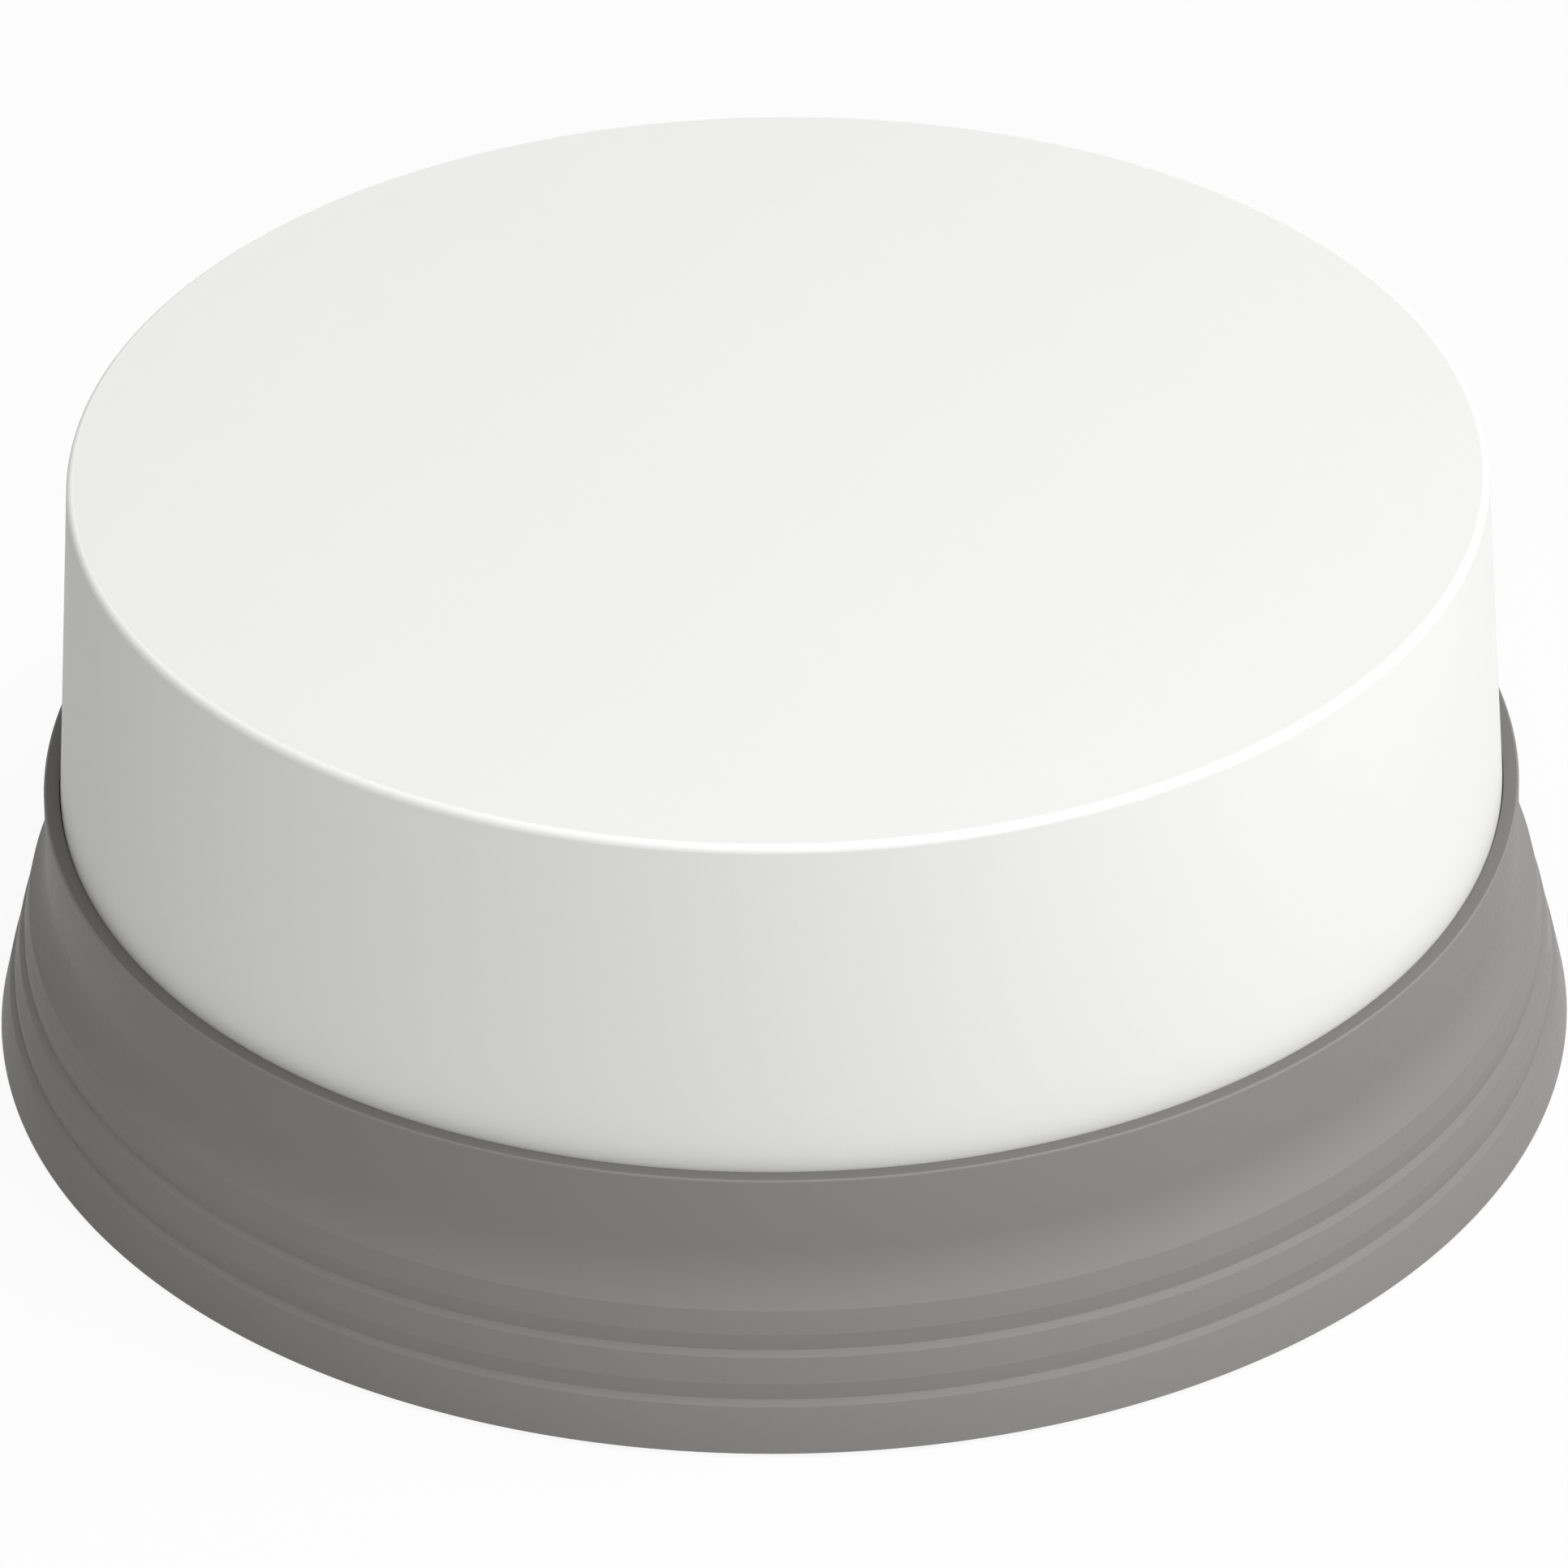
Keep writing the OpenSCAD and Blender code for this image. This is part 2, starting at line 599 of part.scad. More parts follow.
// ---- Button ----
module button_cap() {
    draft_run = (top_z - base_h) * tan(cap_draft);
    edge_r = cap_r - draft_run;
    inner_top_r = edge_r - cap_wall;
    inner_fillet = 1.2;
    color([0.95, 0.95, 0.94]) difference() {
        union() {
            difference() {
                rotate_extrude() polygon([
                    [0, cap_foot - 0.4], [cap_r, cap_foot - 0.4], [cap_r, base_h],
                    [edge_r + cap_bevel * tan(cap_draft), top_z - cap_bevel],
                    [edge_r - cap_bevel, top_z], [0, top_z]]);
                rotate_extrude() polygon(concat(
                    [[0, -cut], [cap_r + 2, -cut], [cap_r + 2, cap_foot], [cap_r - cap_wall, cap_foot]],
                    arc([inner_top_r - inner_fillet, ceiling - inner_fillet], inner_fillet, 0, 90, 5),
                    [[0, ceiling]]));
            }
            ring(guard_in, guard_out, guard_foot, ceiling + 0.5);
            at_guides() {
                rod(boss_r, boss_foot, ceiling + 0.5);
                rod(pad_r, pad_z, ceiling + 0.5);
            }
            rod(3.8, striker_tip + 0.8, ceiling + 0.5);
            // web of ribs under the top: spokes from the centre and a ring between the bosses
            intersection() {
                union() {
                    for (i = [0:11]) rotate(30 * i) translate([3.2, -rib_t / 2, rib_z])
                        cube([31, rib_t, ceiling + 0.5 - rib_z]);
                    ring(11.4, 12.6, rib_z, ceiling + 0.5);
                }
                rod(edge_r - cap_wall + 0.3, rib_z, ceiling + 0.5);
            }
        }
        at_guides() {
            rod(insert_r + 0.02, boss_foot - cut, boss_foot + insert_len + 0.6);
            difference() {
                rod(pad_r, rib_z - cut, pad_z);
                rod(boss_r, rib_z - 2 * cut, pad_z + cut);
            }
        }
        rod(1.6, striker_tip, ceiling - 0.3);
    }
}

module cap_inserts() {
    color([0.8, 0.65, 0.3]) at_guides() insert(insert_r, insert_bore_r, boss_foot, insert_len);
}

// Guide screw: a ground shoulder between the head, which holds the cap in, and a short thread
module shoulder_screws() {
    color([0.75, 0.76, 0.77]) at_guides() difference() {
        union() {
            rotate_extrude() polygon(concat([[0, head_top - head_t]],
                arc([head_r - 0.4, head_top - head_t + 0.4], 0.4, -90, 0, 3),
                [[head_r, head_top], [shoulder_d / 2, head_top], [shoulder_d / 2, boss_foot],
                    [screw_r, boss_foot], [screw_r, boss_foot + 4.2],
                    [screw_r - 0.4, boss_foot + 4.6], [0, boss_foot + 4.6]]));
        }
        translate([0, 0, head_top - head_t - cut]) cylinder(r = 1.45, h = cut + 1.3, $fn = 6);
    }
}

module rebound_washers() {
    color([0.1, 0.1, 0.1]) at_guides() ring(shoulder_d / 2 + 0.02, head_r - 0.1, head_top, head_top + washer_t);
}

module striker() {
    rim_z = striker_tip + dome_r - sqrt(dome_r * dome_r - striker_r * striker_r);
    half = asin(striker_r / dome_r);
    color([0.92, 0.92, 0.9]) rotate_extrude() polygon(concat(
        arc([0, striker_tip + dome_r], dome_r, -90, -90 + half, 5),
        [[striker_r, max(striker_tip + 0.8, rim_z + 0.1)], [1.58, striker_tip + 0.8],
            [1.58, ceiling - 0.6], [0, ceiling - 0.6]]));
}

// Return spring: one wire on a helix, whose end curls lie closer than the active ones
end_pitch = 1.45;
spring_low = spring_seat_z + wire_d / 2;
spring_high = pad_z - wire_d / 2;
active_pitch = (spring_high - spring_low - 2 * end_pitch) / spring_curls;
spring_steps = 8;
function spring_rise(c) = c < 1 ? end_pitch * c
    : c > spring_curls + 1 ? spring_high - spring_low - end_pitch * (spring_curls + 2 - c)
    : end_pitch + active_pitch * (c - 1);
spring_path = [for (i = [0:(spring_curls + 2) * spring_steps]) let (c = i / spring_steps)
    [spring_d / 2 * cos(360 * c), spring_d / 2 * sin(360 * c), spring_low + spring_rise(c)]];
spring_gap = min([for (i = [0:len(spring_path) - 1], j = [i + 5:1:len(spring_path) - 1])
    norm(spring_path[i] - spring_path[j])]) - wire_d;
echo(least_gap_between_curls_mm = spring_gap);

module return_springs() {
    color([0.78, 0.79, 0.8]) at_guides() tube_along(spring_path, wire_d / 2, 6, [0, 0, 1]);
}

bezel_ring();
base_gasket();
back_plate();
press_nuts();
cable_grommet();
plate_screws();
plate_inserts();
chassis();
chassis_oring();
chassis_screws();
guide_bushes();
stop_ring();
wiper_ring();
switch_bracket();
bracket_screws();
switch_case();
switch_terminals();
switch_screws();
switch_nuts();
lever_pin();
terminal_block();
clamp_screws();
switch_leads();
button_cap();
cap_inserts();
shoulder_screws();
rebound_washers();
striker();
return_springs();
switch_lever();
switch_plunger();
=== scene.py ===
"""Looks of a round pedestrian push button: a white press cap on a flared grey base ring."""

import math

import bpy
import numpy as np
from bpy.props import FloatProperty, FloatVectorProperty, IntProperty, PointerProperty
from mathutils import Matrix, Vector


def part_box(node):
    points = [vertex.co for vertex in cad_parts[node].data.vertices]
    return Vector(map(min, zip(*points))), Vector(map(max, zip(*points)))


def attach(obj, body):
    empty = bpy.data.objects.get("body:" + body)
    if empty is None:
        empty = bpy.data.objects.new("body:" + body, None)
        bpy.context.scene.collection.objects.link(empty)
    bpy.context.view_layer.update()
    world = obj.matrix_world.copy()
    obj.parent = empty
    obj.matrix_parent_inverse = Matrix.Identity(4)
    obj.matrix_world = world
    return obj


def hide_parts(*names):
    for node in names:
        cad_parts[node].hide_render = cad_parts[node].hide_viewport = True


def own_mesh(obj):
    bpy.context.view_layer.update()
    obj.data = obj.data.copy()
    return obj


bl_info = {
    "name": "Pedestrian Push Button",
    "version": (1, 0, 0),
    "blender": (4, 5, 0),
    "location": "3D View > Sidebar > Push Button",
    "description": "Dresses the packed model of a round pedestrian push button and lights it",
    "category": "Object",
}

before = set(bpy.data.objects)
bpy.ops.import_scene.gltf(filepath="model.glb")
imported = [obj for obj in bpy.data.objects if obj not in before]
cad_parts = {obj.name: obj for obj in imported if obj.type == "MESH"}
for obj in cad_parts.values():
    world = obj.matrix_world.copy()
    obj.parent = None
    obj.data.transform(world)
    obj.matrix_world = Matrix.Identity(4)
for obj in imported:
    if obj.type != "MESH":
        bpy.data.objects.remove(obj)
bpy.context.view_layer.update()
MM = 0.001

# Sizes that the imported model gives, in millimetres
RIM_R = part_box("bezel_ring")[1].x / MM
BASE_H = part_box("bezel_ring")[1].z / MM
CAP_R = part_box("button_cap")[1].x / MM
CAP_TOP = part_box("button_cap")[1].z / MM
CAP_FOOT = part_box("button_cap")[0].z / MM
SPRING_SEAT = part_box("return_springs")[0].z / MM
SPRING_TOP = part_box("return_springs")[1].z / MM

# Sizes in millimetres that no box gives: the gap round the cap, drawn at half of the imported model's so that
# it shows no dark line, the step from the lip out to the flare, the slopes between the bands, the guides'
# circle and the holes for the inserts
CAP_GAP = 0.05
LIP_STEP = 0.06
LEDGE_W, LEDGE_H = 0.29, 0.25
GUIDE_R = 20.0
GUIDE_ANGLES = np.radians([90.0, 210.0, 330.0])
INSERT_HOLE_R = 2.02

# How far bosses run into the ring's flange, and bosses and ribs into the cap's top and wall, in millimetres
RING_OVERLAP, TOP_OVERLAP, WALL_OVERLAP = 0.3, 0.4, 0.2

# Inside the base ring, in millimetres
THROAT_R, SKIRT_R, PLATE_SEAT_R = 26.5, 31.4, 34.5
FLANGE_TOP, FLANGE_FOOT, PLATE_TOP = 9.0, 7.0, 1.6

# Recesses as (first radius, last radius, height of the floor), in the order of the ring's outline
STOP_GROOVE = (34.3, 32.85, 8.0)
SEAL_GROOVE = (28.8, 27.4, 8.2)
CORE = (33.0, 34.3, 6.4)
GASKET_GROOVE = (35.2, 36.9, 1.2)

# Inside the cap, in millimetres
GUARD_IN, GUARD_OUT, GUARD_FOOT = 28.55, 30.0, 14.0
BOSS_R, BOSS_FOOT, BOSS_HOLE_END = 4.0, 15.6, 21.2
PAD_R, PAD_FOOT = 6.4, 25.0
HUB_R, HUB_HOLE_R, HUB_FOOT = 3.8, 1.6, 24.72
RIB_FOOT, HOOP_R = 24.3, 12.0

# The leads in millimetres: height of the tabs' feet, bend radius, end in the block and the two runs (x, y)
LEAD_START, LEAD_BEND, LEAD_END = 6.55, 1.5, 13.4
LEAD_RUNS = [((-14.2, 0.0), (-2.5, -13.0)), ((-7.0, 0.0), (2.5, -13.0))]

WHITE = (1.0, 1.0, 1.0, 1.0)
BLACK = (0.0, 0.0, 0.0, 1.0)


# ---- Curves and surfaces ----


def arc(centre, radius, start, end, steps):
    """Points centre + radius * (cos t, sin t), with t in even steps from start to end, in degrees."""
    t = np.radians(np.linspace(start, end, steps + 1))
    return np.stack([centre[0] + radius * np.cos(t), centre[1] + radius * np.sin(t)], axis=1)


def filleted(points, radii, steps):
    """A closed outline whose corners are rounded.

    At each corner the arc's centre lies on the bisector, at radius / sin(half the corner's angle),
    and the arc is the spherical blend of its two end directions. A radius of 0 keeps the corner sharp.
    """
    p = np.asarray(points, float)
    r = np.broadcast_to(np.asarray(radii, float), len(p))
    back, ahead = np.roll(p, 1, axis=0) - p, np.roll(p, -1, axis=0) - p
    back /= np.linalg.norm(back, axis=1)[:, None] + 1e-12
    ahead /= np.linalg.norm(ahead, axis=1)[:, None] + 1e-12
    half = np.arccos(np.clip((back * ahead).sum(1), -1, 1)) / 2
    turn = np.pi - 2 * half
    round_here = (r > 0) & (turn > 1e-3)
    reach = np.where(round_here, r / np.tan(np.maximum(half, 1e-3)), 0.0)
    middle = back + ahead
    middle /= np.linalg.norm(middle, axis=1)[:, None] + 1e-12
    centre = p + middle * np.where(round_here, r / np.sin(np.maximum(half, 1e-3)), 0.0)[:, None]
    first, last = p + back * reach[:, None] - centre, p + ahead * reach[:, None] - centre
    u = np.linspace(0, 1, steps + 1)[None, :, None]
    wide = np.where(round_here, turn, 1.0)[:, None, None]
    blend = (np.sin((1 - u) * wide) * first[:, None] + np.sin(u * wide) * last[:, None]) / np.sin(wide)
    out = (centre[:, None] + np.where(round_here[:, None, None], blend, 0.0)).reshape(-1, 2)
    keep = np.linalg.norm(out - np.roll(out, 1, axis=0), axis=1) > 1e-6
    keep[0] = True
    return out[keep]


def counter_clockwise(outline):
    """The outline in the order that puts its inside on the left, from the sign of its shoelace area."""
    r, z = outline[:, 0], outline[:, 1]
    area = (r * np.roll(z, -1) - np.roll(r, -1) * z).sum()
    return outline if area > 0 else outline[::-1]


def lathe(outline, segments=256, start=0.0, sweep=360.0):
    """A closed outline (radius, height) turned about the Z axis: x = r cos t, y = r sin t, z = height.

    A full turn joins up, and points on the axis become one pole. A part turn is closed with its two
    end faces. Returns points and faces, in millimetres.
    """
    section = counter_clockwise(np.asarray(outline, float))
    n = len(section)
    full = abs(sweep) >= 360.0
    turns = segments if full else segments + 1
    t = np.radians(start + sweep * np.arange(turns) / segments)
    r, z = section[:, 0], section[:, 1]
    points = np.stack(
        [np.outer(np.cos(t), r), np.outer(np.sin(t), r), np.broadcast_to(z, (turns, n))], axis=2
    ).reshape(-1, 3)
    k = np.arange(segments)[:, None]
    i = np.arange(n)[None, :]
    ahead, after = (k + 1) % turns, (i + 1) % n
    quads = np.stack([k * n + i, ahead * n + i, ahead * n + after, k * n + after], axis=2).reshape(-1, 4)
    on_axis = np.tile(r < 1e-9, turns)
    pole = np.arange(len(points))
    pole[on_axis] = np.tile(np.arange(n), turns)[on_axis]
    faces = pole[quads]
    faces = [tuple(dict.fromkeys(f)) for f in faces.tolist()]
    faces = [f for f in faces if len(f) > 2 and not all(section[v % n][0] < 1e-9 for v in f)]
    if not full:
        faces += [tuple(range(n)), tuple(range((turns - 1) * n + n - 1, (turns - 1) * n - 1, -1))]
    return points, faces


def carried(section, path, side):
    """A closed section carried along a path: point = path + u * across + v * up.

    across is the cross product of side and the path's direction, up completes the frame, and side
    is a direction that the path never takes. Both ends are closed.
    """
    path, section = np.asarray(path, float), np.asarray(section, float)
    n, m = len(path), len(section)
    ways = np.gradient(path, axis=0)
    ways /= np.linalg.norm(ways, axis=1)[:, None]
    across = np.cross(side, ways)
    across /= np.linalg.norm(across, axis=1)[:, None]
    up = np.cross(ways, across)
    points = (
        path[:, None] + section[None, :, :1] * across[:, None] + section[None, :, 1:] * up[:, None]
    ).reshape(-1, 3)
    k = np.arange(n - 1)[:, None]
    i = np.arange(m)[None, :]
    after = (i + 1) % m
    quads = np.stack([k * m + i, k * m + after, (k + 1) * m + after, (k + 1) * m + i], axis=2)
    faces = [tuple(f) for f in quads.reshape(-1, 4).tolist()]
    faces += [tuple(range(m - 1, -1, -1)), tuple(range((n - 1) * m, n * m))]
    return points, faces


def joined(parts):
    """Several (points, faces) as one."""
    points, faces, count = [], [], 0
    for p, f in parts:
        points.append(p)
        faces += [tuple(v + count for v in face) for face in f]
        count += len(p)
    return np.concatenate(points), faces


def placed(part, shift=(0, 0, 0), angle=0.0):
    """The part turned about Z by angle, in radians, then moved."""
    points, faces = part
    c, s = math.cos(angle), math.sin(angle)
    turn = np.array([[c, s, 0], [-s, c, 0], [0, 0, 1]])
    return points @ turn + np.asarray(shift, float), faces


def round_the_axis(part, angles, radius):
    """Copies of the part at each angle, at that radius from the axis."""
    return joined([placed(placed(part, (radius, 0, 0)), angle=a) for a in angles])


def piece(name, part, material, body, stands_for=(), crease=28.0):
    """Puts points in millimetres into a mesh in metres, smooth but for creases, and rides it on its body."""
    points, faces = part
    mesh = bpy.data.meshes.new(name)
    mesh.from_pydata((points * MM).tolist(), [], faces)
    mesh.validate()
    used = np.zeros(len(mesh.vertices), bool)
    corners = np.empty(len(mesh.loops), np.int32)
    mesh.loops.foreach_get("vertex_index", corners)
    used[corners] = True
    if not used.all():
        renumber = np.cumsum(used) - 1
        tidy_faces = [tuple(renumber[v] for v in p.vertices) for p in mesh.polygons]
        tidy_points = points[used]
        mesh.clear_geometry()
        mesh.from_pydata((tidy_points * MM).tolist(), [], [tuple(int(v) for v in f) for f in tidy_faces])
    mesh.polygons.foreach_set("use_smooth", np.ones(len(mesh.polygons), bool))
    mesh.set_sharp_from_angle(angle=math.radians(crease))
    mesh.materials.append(material)
    obj = bpy.data.objects.new(name, mesh)
    bpy.context.scene.collection.objects.link(obj)
    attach(obj, body)
    if stands_for:
        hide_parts(*stands_for)
    return obj


# ---- Finishes ----

SOCKETS = {"colour": "NodeSocketColor", "value": "NodeSocketFloat"}


def new_group(name, inputs, outputs):
    """An empty shader node group with named inputs (name, kind, default) and outputs (name, kind)."""
    group = bpy.data.node_groups.new(name, "ShaderNodeTree")
    for label, kind, default in inputs:
        socket = group.interface.new_socket(label, in_out="INPUT", socket_type=SOCKETS[kind])
        socket.default_value = default
    for label, kind in outputs:
        group.interface.new_socket(label, in_out="OUTPUT", socket_type=SOCKETS[kind])
    return group, group.nodes.new("NodeGroupInput"), group.nodes.new("NodeGroupOutput")


def noise(tree, size_from, place, detail=3.0, stretch=None):
    """A noise texture on object coordinates. size_from is its scale in cells a metre, or a socket with it."""
    node = tree.nodes.new("ShaderNodeTexNoise")
    node.inputs["Detail"].default_value = detail
    if stretch is not None:
        turn = tree.nodes.new("ShaderNodeMapping")
        turn.inputs["Scale"].default_value = stretch
        tree.links.new(place, turn.inputs["Vector"])
        place = turn.outputs["Vector"]
    tree.links.new(place, node.inputs["Vector"])
    if isinstance(size_from, float):
        node.inputs["Scale"].default_value = size_from
    else:
        tree.links.new(size_from, node.inputs["Scale"])
    return node.outputs["Fac"]


def compute(tree, operation, a, b):
    """The result of one Math node on two sockets or numbers."""
    node = tree.nodes.new("ShaderNodeMath")
    node.operation = operation
    for i, value in enumerate((a, b)):
        if isinstance(value, (int, float)):
            node.inputs[i].default_value = value
        else:
            tree.links.new(value, node.inputs[i])
    return node.outputs[0]


def between(tree, factor, a, b):
    """A colour between a and b by factor."""
    node = tree.nodes.new("ShaderNodeMix")
    node.data_type = "RGBA"
    tree.links.new(factor, node.inputs["Factor"])
    for socket, value in (("A", a), ("B", b)):
        target = next(s for s in node.inputs if s.name == socket and s.type == "RGBA")
        if isinstance(value, tuple):
            target.default_value = value
        else:
            tree.links.new(value, target)
    return next(s for s in node.outputs if s.type == "RGBA")


def spread(tree, value, low, high, to_low=0.0, to_high=1.0):
    """A value mapped from low..high to to_low..to_high, with a smooth step."""
    node = tree.nodes.new("ShaderNodeMapRange")
    node.interpolation_type = "SMOOTHSTEP"
    node.inputs["From Min"].default_value = low
    node.inputs["From Max"].default_value = high
    node.inputs["To Min"].default_value = to_low
    node.inputs["To Max"].default_value = to_high
    tree.links.new(value, node.inputs["Value"])
    return node.outputs["Result"]


def surface_grain_group():
    """Moulded grain: fine noise gives height and speckles the roughness, coarse noise mottles the colour."""
    group, given, out = new_group(
        "Moulded Grain",
        [
            ("Colour", "colour", (0.8, 0.8, 0.8, 1.0)),
            ("Mottle", "value", 0.05),
            ("Roughness", "value", 0.4),
            ("Grain Scale", "value", 4000.0),
            ("Mottle Scale", "value", 60.0),
        ],
        [("Colour", "colour"), ("Roughness", "value"), ("Height", "value")],
    )
    place = group.nodes.new("ShaderNodeTexCoord").outputs["Object"]
    fine = noise(group, given.outputs["Grain Scale"], place, 2.0)
    coarse = noise(group, given.outputs["Mottle Scale"], place, 5.0)
    shade = compute(group, "MULTIPLY", spread(group, coarse, 0.3, 0.7), given.outputs["Mottle"])
    deeper = group.nodes.new("ShaderNodeHueSaturation")
    deeper.inputs["Value"].default_value = 0.8
    group.links.new(given.outputs["Colour"], deeper.inputs["Color"])
    group.links.new(
        between(group, shade, given.outputs["Colour"], deeper.outputs["Color"]), out.inputs["Colour"]
    )
    speckle = spread(group, fine, 0.25, 0.75, -0.05, 0.05)
    blotch = spread(group, coarse, 0.3, 0.7, -0.03, 0.03)
    rough = compute(group, "ADD", given.outputs["Roughness"], compute(group, "ADD", speckle, blotch))
    group.links.new(rough, out.inputs["Roughness"])
    group.links.new(fine, out.inputs["Height"])
    return group


def edge_wear_group():
    """Wear along edges: where the bevelled normal leaves the true one, broken up by noise."""
    group, given, out = new_group(
        "Edge Wear",
        [("Amount", "value", 0.5), ("Width", "value", 0.0003), ("Breakup Scale", "value", 900.0)],
        [("Mask", "value")],
    )
    soft = group.nodes.new("ShaderNodeBevel")
    soft.samples = 4
    group.links.new(given.outputs["Width"], soft.inputs["Radius"])
    plain = group.nodes.new("ShaderNodeNewGeometry")
    dot = group.nodes.new("ShaderNodeVectorMath")
    dot.operation = "DOT_PRODUCT"
    group.links.new(soft.outputs["Normal"], dot.inputs[0])
    group.links.new(plain.outputs["Normal"], dot.inputs[1])
    edge = spread(group, dot.outputs["Value"], 0.999, 0.93)
    place = group.nodes.new("ShaderNodeTexCoord").outputs["Object"]
    broken = spread(group, noise(group, given.outputs["Breakup Scale"], place, 4.0), 0.3, 0.6, 0.35, 1.0)
    mask = compute(group, "MULTIPLY", compute(group, "MULTIPLY", edge, broken), given.outputs["Amount"])
    group.links.new(mask, out.inputs["Mask"])
    return group


def brushed_group():
    """Brushed or drawn metal: noise stretched along one axis, for colour, roughness and height."""
    group, given, out = new_group(
        "Brushed Lines",
        [
            ("Colour", "colour", (0.6, 0.6, 0.6, 1.0)),
            ("Roughness", "value", 0.3),
            ("Line Scale", "value", 60.0),
        ],
        [("Colour", "colour"), ("Roughness", "value"), ("Height", "value")],
    )
    place = group.nodes.new("ShaderNodeTexCoord").outputs["Object"]
    lines = noise(group, given.outputs["Line Scale"], place, 4.0, stretch=(1.0, 60.0, 20.0))
    stain = noise(group, given.outputs["Line Scale"], place, 3.0)
    darker = group.nodes.new("ShaderNodeHueSaturation")
    darker.inputs["Value"].default_value = 0.78
    group.links.new(given.outputs["Colour"], darker.inputs["Color"])
    group.links.new(
        between(group, spread(group, lines, 0.35, 0.65), given.outputs["Colour"], darker.outputs["Color"]),
        out.inputs["Colour"],
    )
    streaks = spread(group, lines, 0.3, 0.7, -0.06, 0.06)
    stains = spread(group, stain, 0.3, 0.7, -0.04, 0.04)
    rough = compute(group, "ADD", compute(group, "ADD", streaks, stains), given.outputs["Roughness"])
    group.links.new(rough, out.inputs["Roughness"])
    group.links.new(lines, out.inputs["Height"])
    return group


def bloom_group():
    """Rubber with a pale bloom in its pores: two noises lift the colour and the roughness."""
    group, given, out = new_group(
        "Rubber Bloom",
        [
            ("Colour", "colour", (0.02, 0.02, 0.02, 1.0)),
            ("Bloom", "value", 0.3),
            ("Roughness", "value", 0.65),
        ],
        [("Colour", "colour"), ("Roughness", "value"), ("Height", "value")],
    )
    place = group.nodes.new("ShaderNodeTexCoord").outputs["Object"]
    pores = noise(group, 2600.0, place, 3.0)
    clouds = noise(group, 220.0, place, 4.0)
    pale = compute(group, "MULTIPLY", spread(group, clouds, 0.4, 0.75), given.outputs["Bloom"])
    group.links.new(
        between(group, pale, given.outputs["Colour"], (0.16, 0.155, 0.15, 1.0)), out.inputs["Colour"]
    )
    group.links.new(
        compute(group, "ADD", given.outputs["Roughness"], spread(group, pores, 0.3, 0.7, -0.08, 0.08)),
        out.inputs["Roughness"],
    )
    group.links.new(pores, out.inputs["Height"])
    return group


def ring_zone_group():
    """A ring about the axis: full above a height and within a radius, or outside it where Side is -1."""
    group, given, out = new_group(
        "Ring Zone",
        [
            ("Radius", "value", 0.0353),
            ("Side", "value", 1.0),
            ("Height", "value", 0.0132),
            ("Fade", "value", 0.0001),
            ("Amount", "value", 0.3),
        ],
        [("Mask", "value")],
    )
    place = group.nodes.new("ShaderNodeTexCoord").outputs["Object"]
    parts = group.nodes.new("ShaderNodeSeparateXYZ")
    group.links.new(place, parts.inputs["Vector"])
    x, y, z = parts.outputs
    squares = compute(group, "ADD", compute(group, "MULTIPLY", x, x), compute(group, "MULTIPLY", y, y))
    inside = compute(group, "SUBTRACT", given.outputs["Radius"], compute(group, "POWER", squares, 0.5))
    inside = compute(group, "MULTIPLY", inside, given.outputs["Side"])
    above = compute(group, "SUBTRACT", z, given.outputs["Height"])
    mask = given.outputs["Amount"]
    for depth in (inside, above):
        share = spread(group, compute(group, "DIVIDE", depth, given.outputs["Fade"]), 0.0, 1.0)
        mask = compute(group, "MULTIPLY", mask, share)
    group.links.new(mask, out.inputs["Mask"])
    return group


EFFECTS = {
    "Moulded Grain": surface_grain_group,
    "Edge Wear": edge_wear_group,
    "Brushed Lines": brushed_group,
    "Rubber Bloom": bloom_group,
    "Ring Zone": ring_zone_group,
}
GROUPS = {}


def effect(tree, label, **values):
    """The node group of that name placed in a material, with its own values."""
    if label not in GROUPS:
        GROUPS[label] = EFFECTS[label]()
    node = tree.nodes.new("ShaderNodeGroup")
    node.node_tree = GROUPS[label]
    for name, value in values.items():
        node.inputs[name.replace("_", " ")].default_value = value
    return node


def finished(name, skin, bump, wear, metallic=0.0, specular=0.5, zone=None):
    """A material: a skin effect (label, values) on a Principled shader, with bump in metres and edge wear.

    wear is (amount, width in metres, worn colour, change of roughness), and zone is (colour, values): a
    ring about the axis that is tinted with that colour, which paints light or shade into the surface.
    """
    material = bpy.data.materials.new(name)
    material.use_nodes = True
    tree = material.node_tree
    shader = next(n for n in tree.nodes if n.type == "BSDF_PRINCIPLED")
    shader.inputs["Metallic"].default_value = metallic
    shader.inputs["Specular IOR Level"].default_value = specular
    label, values = skin
    face = effect(tree, label, **values)
    colour, rough = face.outputs["Colour"], face.outputs["Roughness"]
    amount, width, worn, gloss = wear
    mask = effect(tree, "Edge Wear", Amount=amount, Width=width).outputs["Mask"]
    colour = between(tree, mask, colour, worn)
    rough = compute(tree, "ADD", rough, compute(tree, "MULTIPLY", mask, gloss))
    if zone:
        tint, place = zone
        # The zone's colour is painted light: a painted highlight on the cap's rim, painted shade on the lip
        colour = between(tree, effect(tree, "Ring Zone", **place).outputs["Mask"], colour, tint)
    tree.links.new(colour, shader.inputs["Base Color"])
    tree.links.new(rough, shader.inputs["Roughness"])
    relief = tree.nodes.new("ShaderNodeBump")
    relief.inputs["Distance"].default_value = bump
    tree.links.new(face.outputs["Height"], relief.inputs["Height"])
    tree.links.new(relief.outputs["Normal"], shader.inputs["Normal"])
    return material


def opaque(colour, factor=1.0):
    """The colour with alpha 1, its channels scaled."""
    return tuple(min(1.0, c * factor) for c in colour[:3]) + (1.0,)


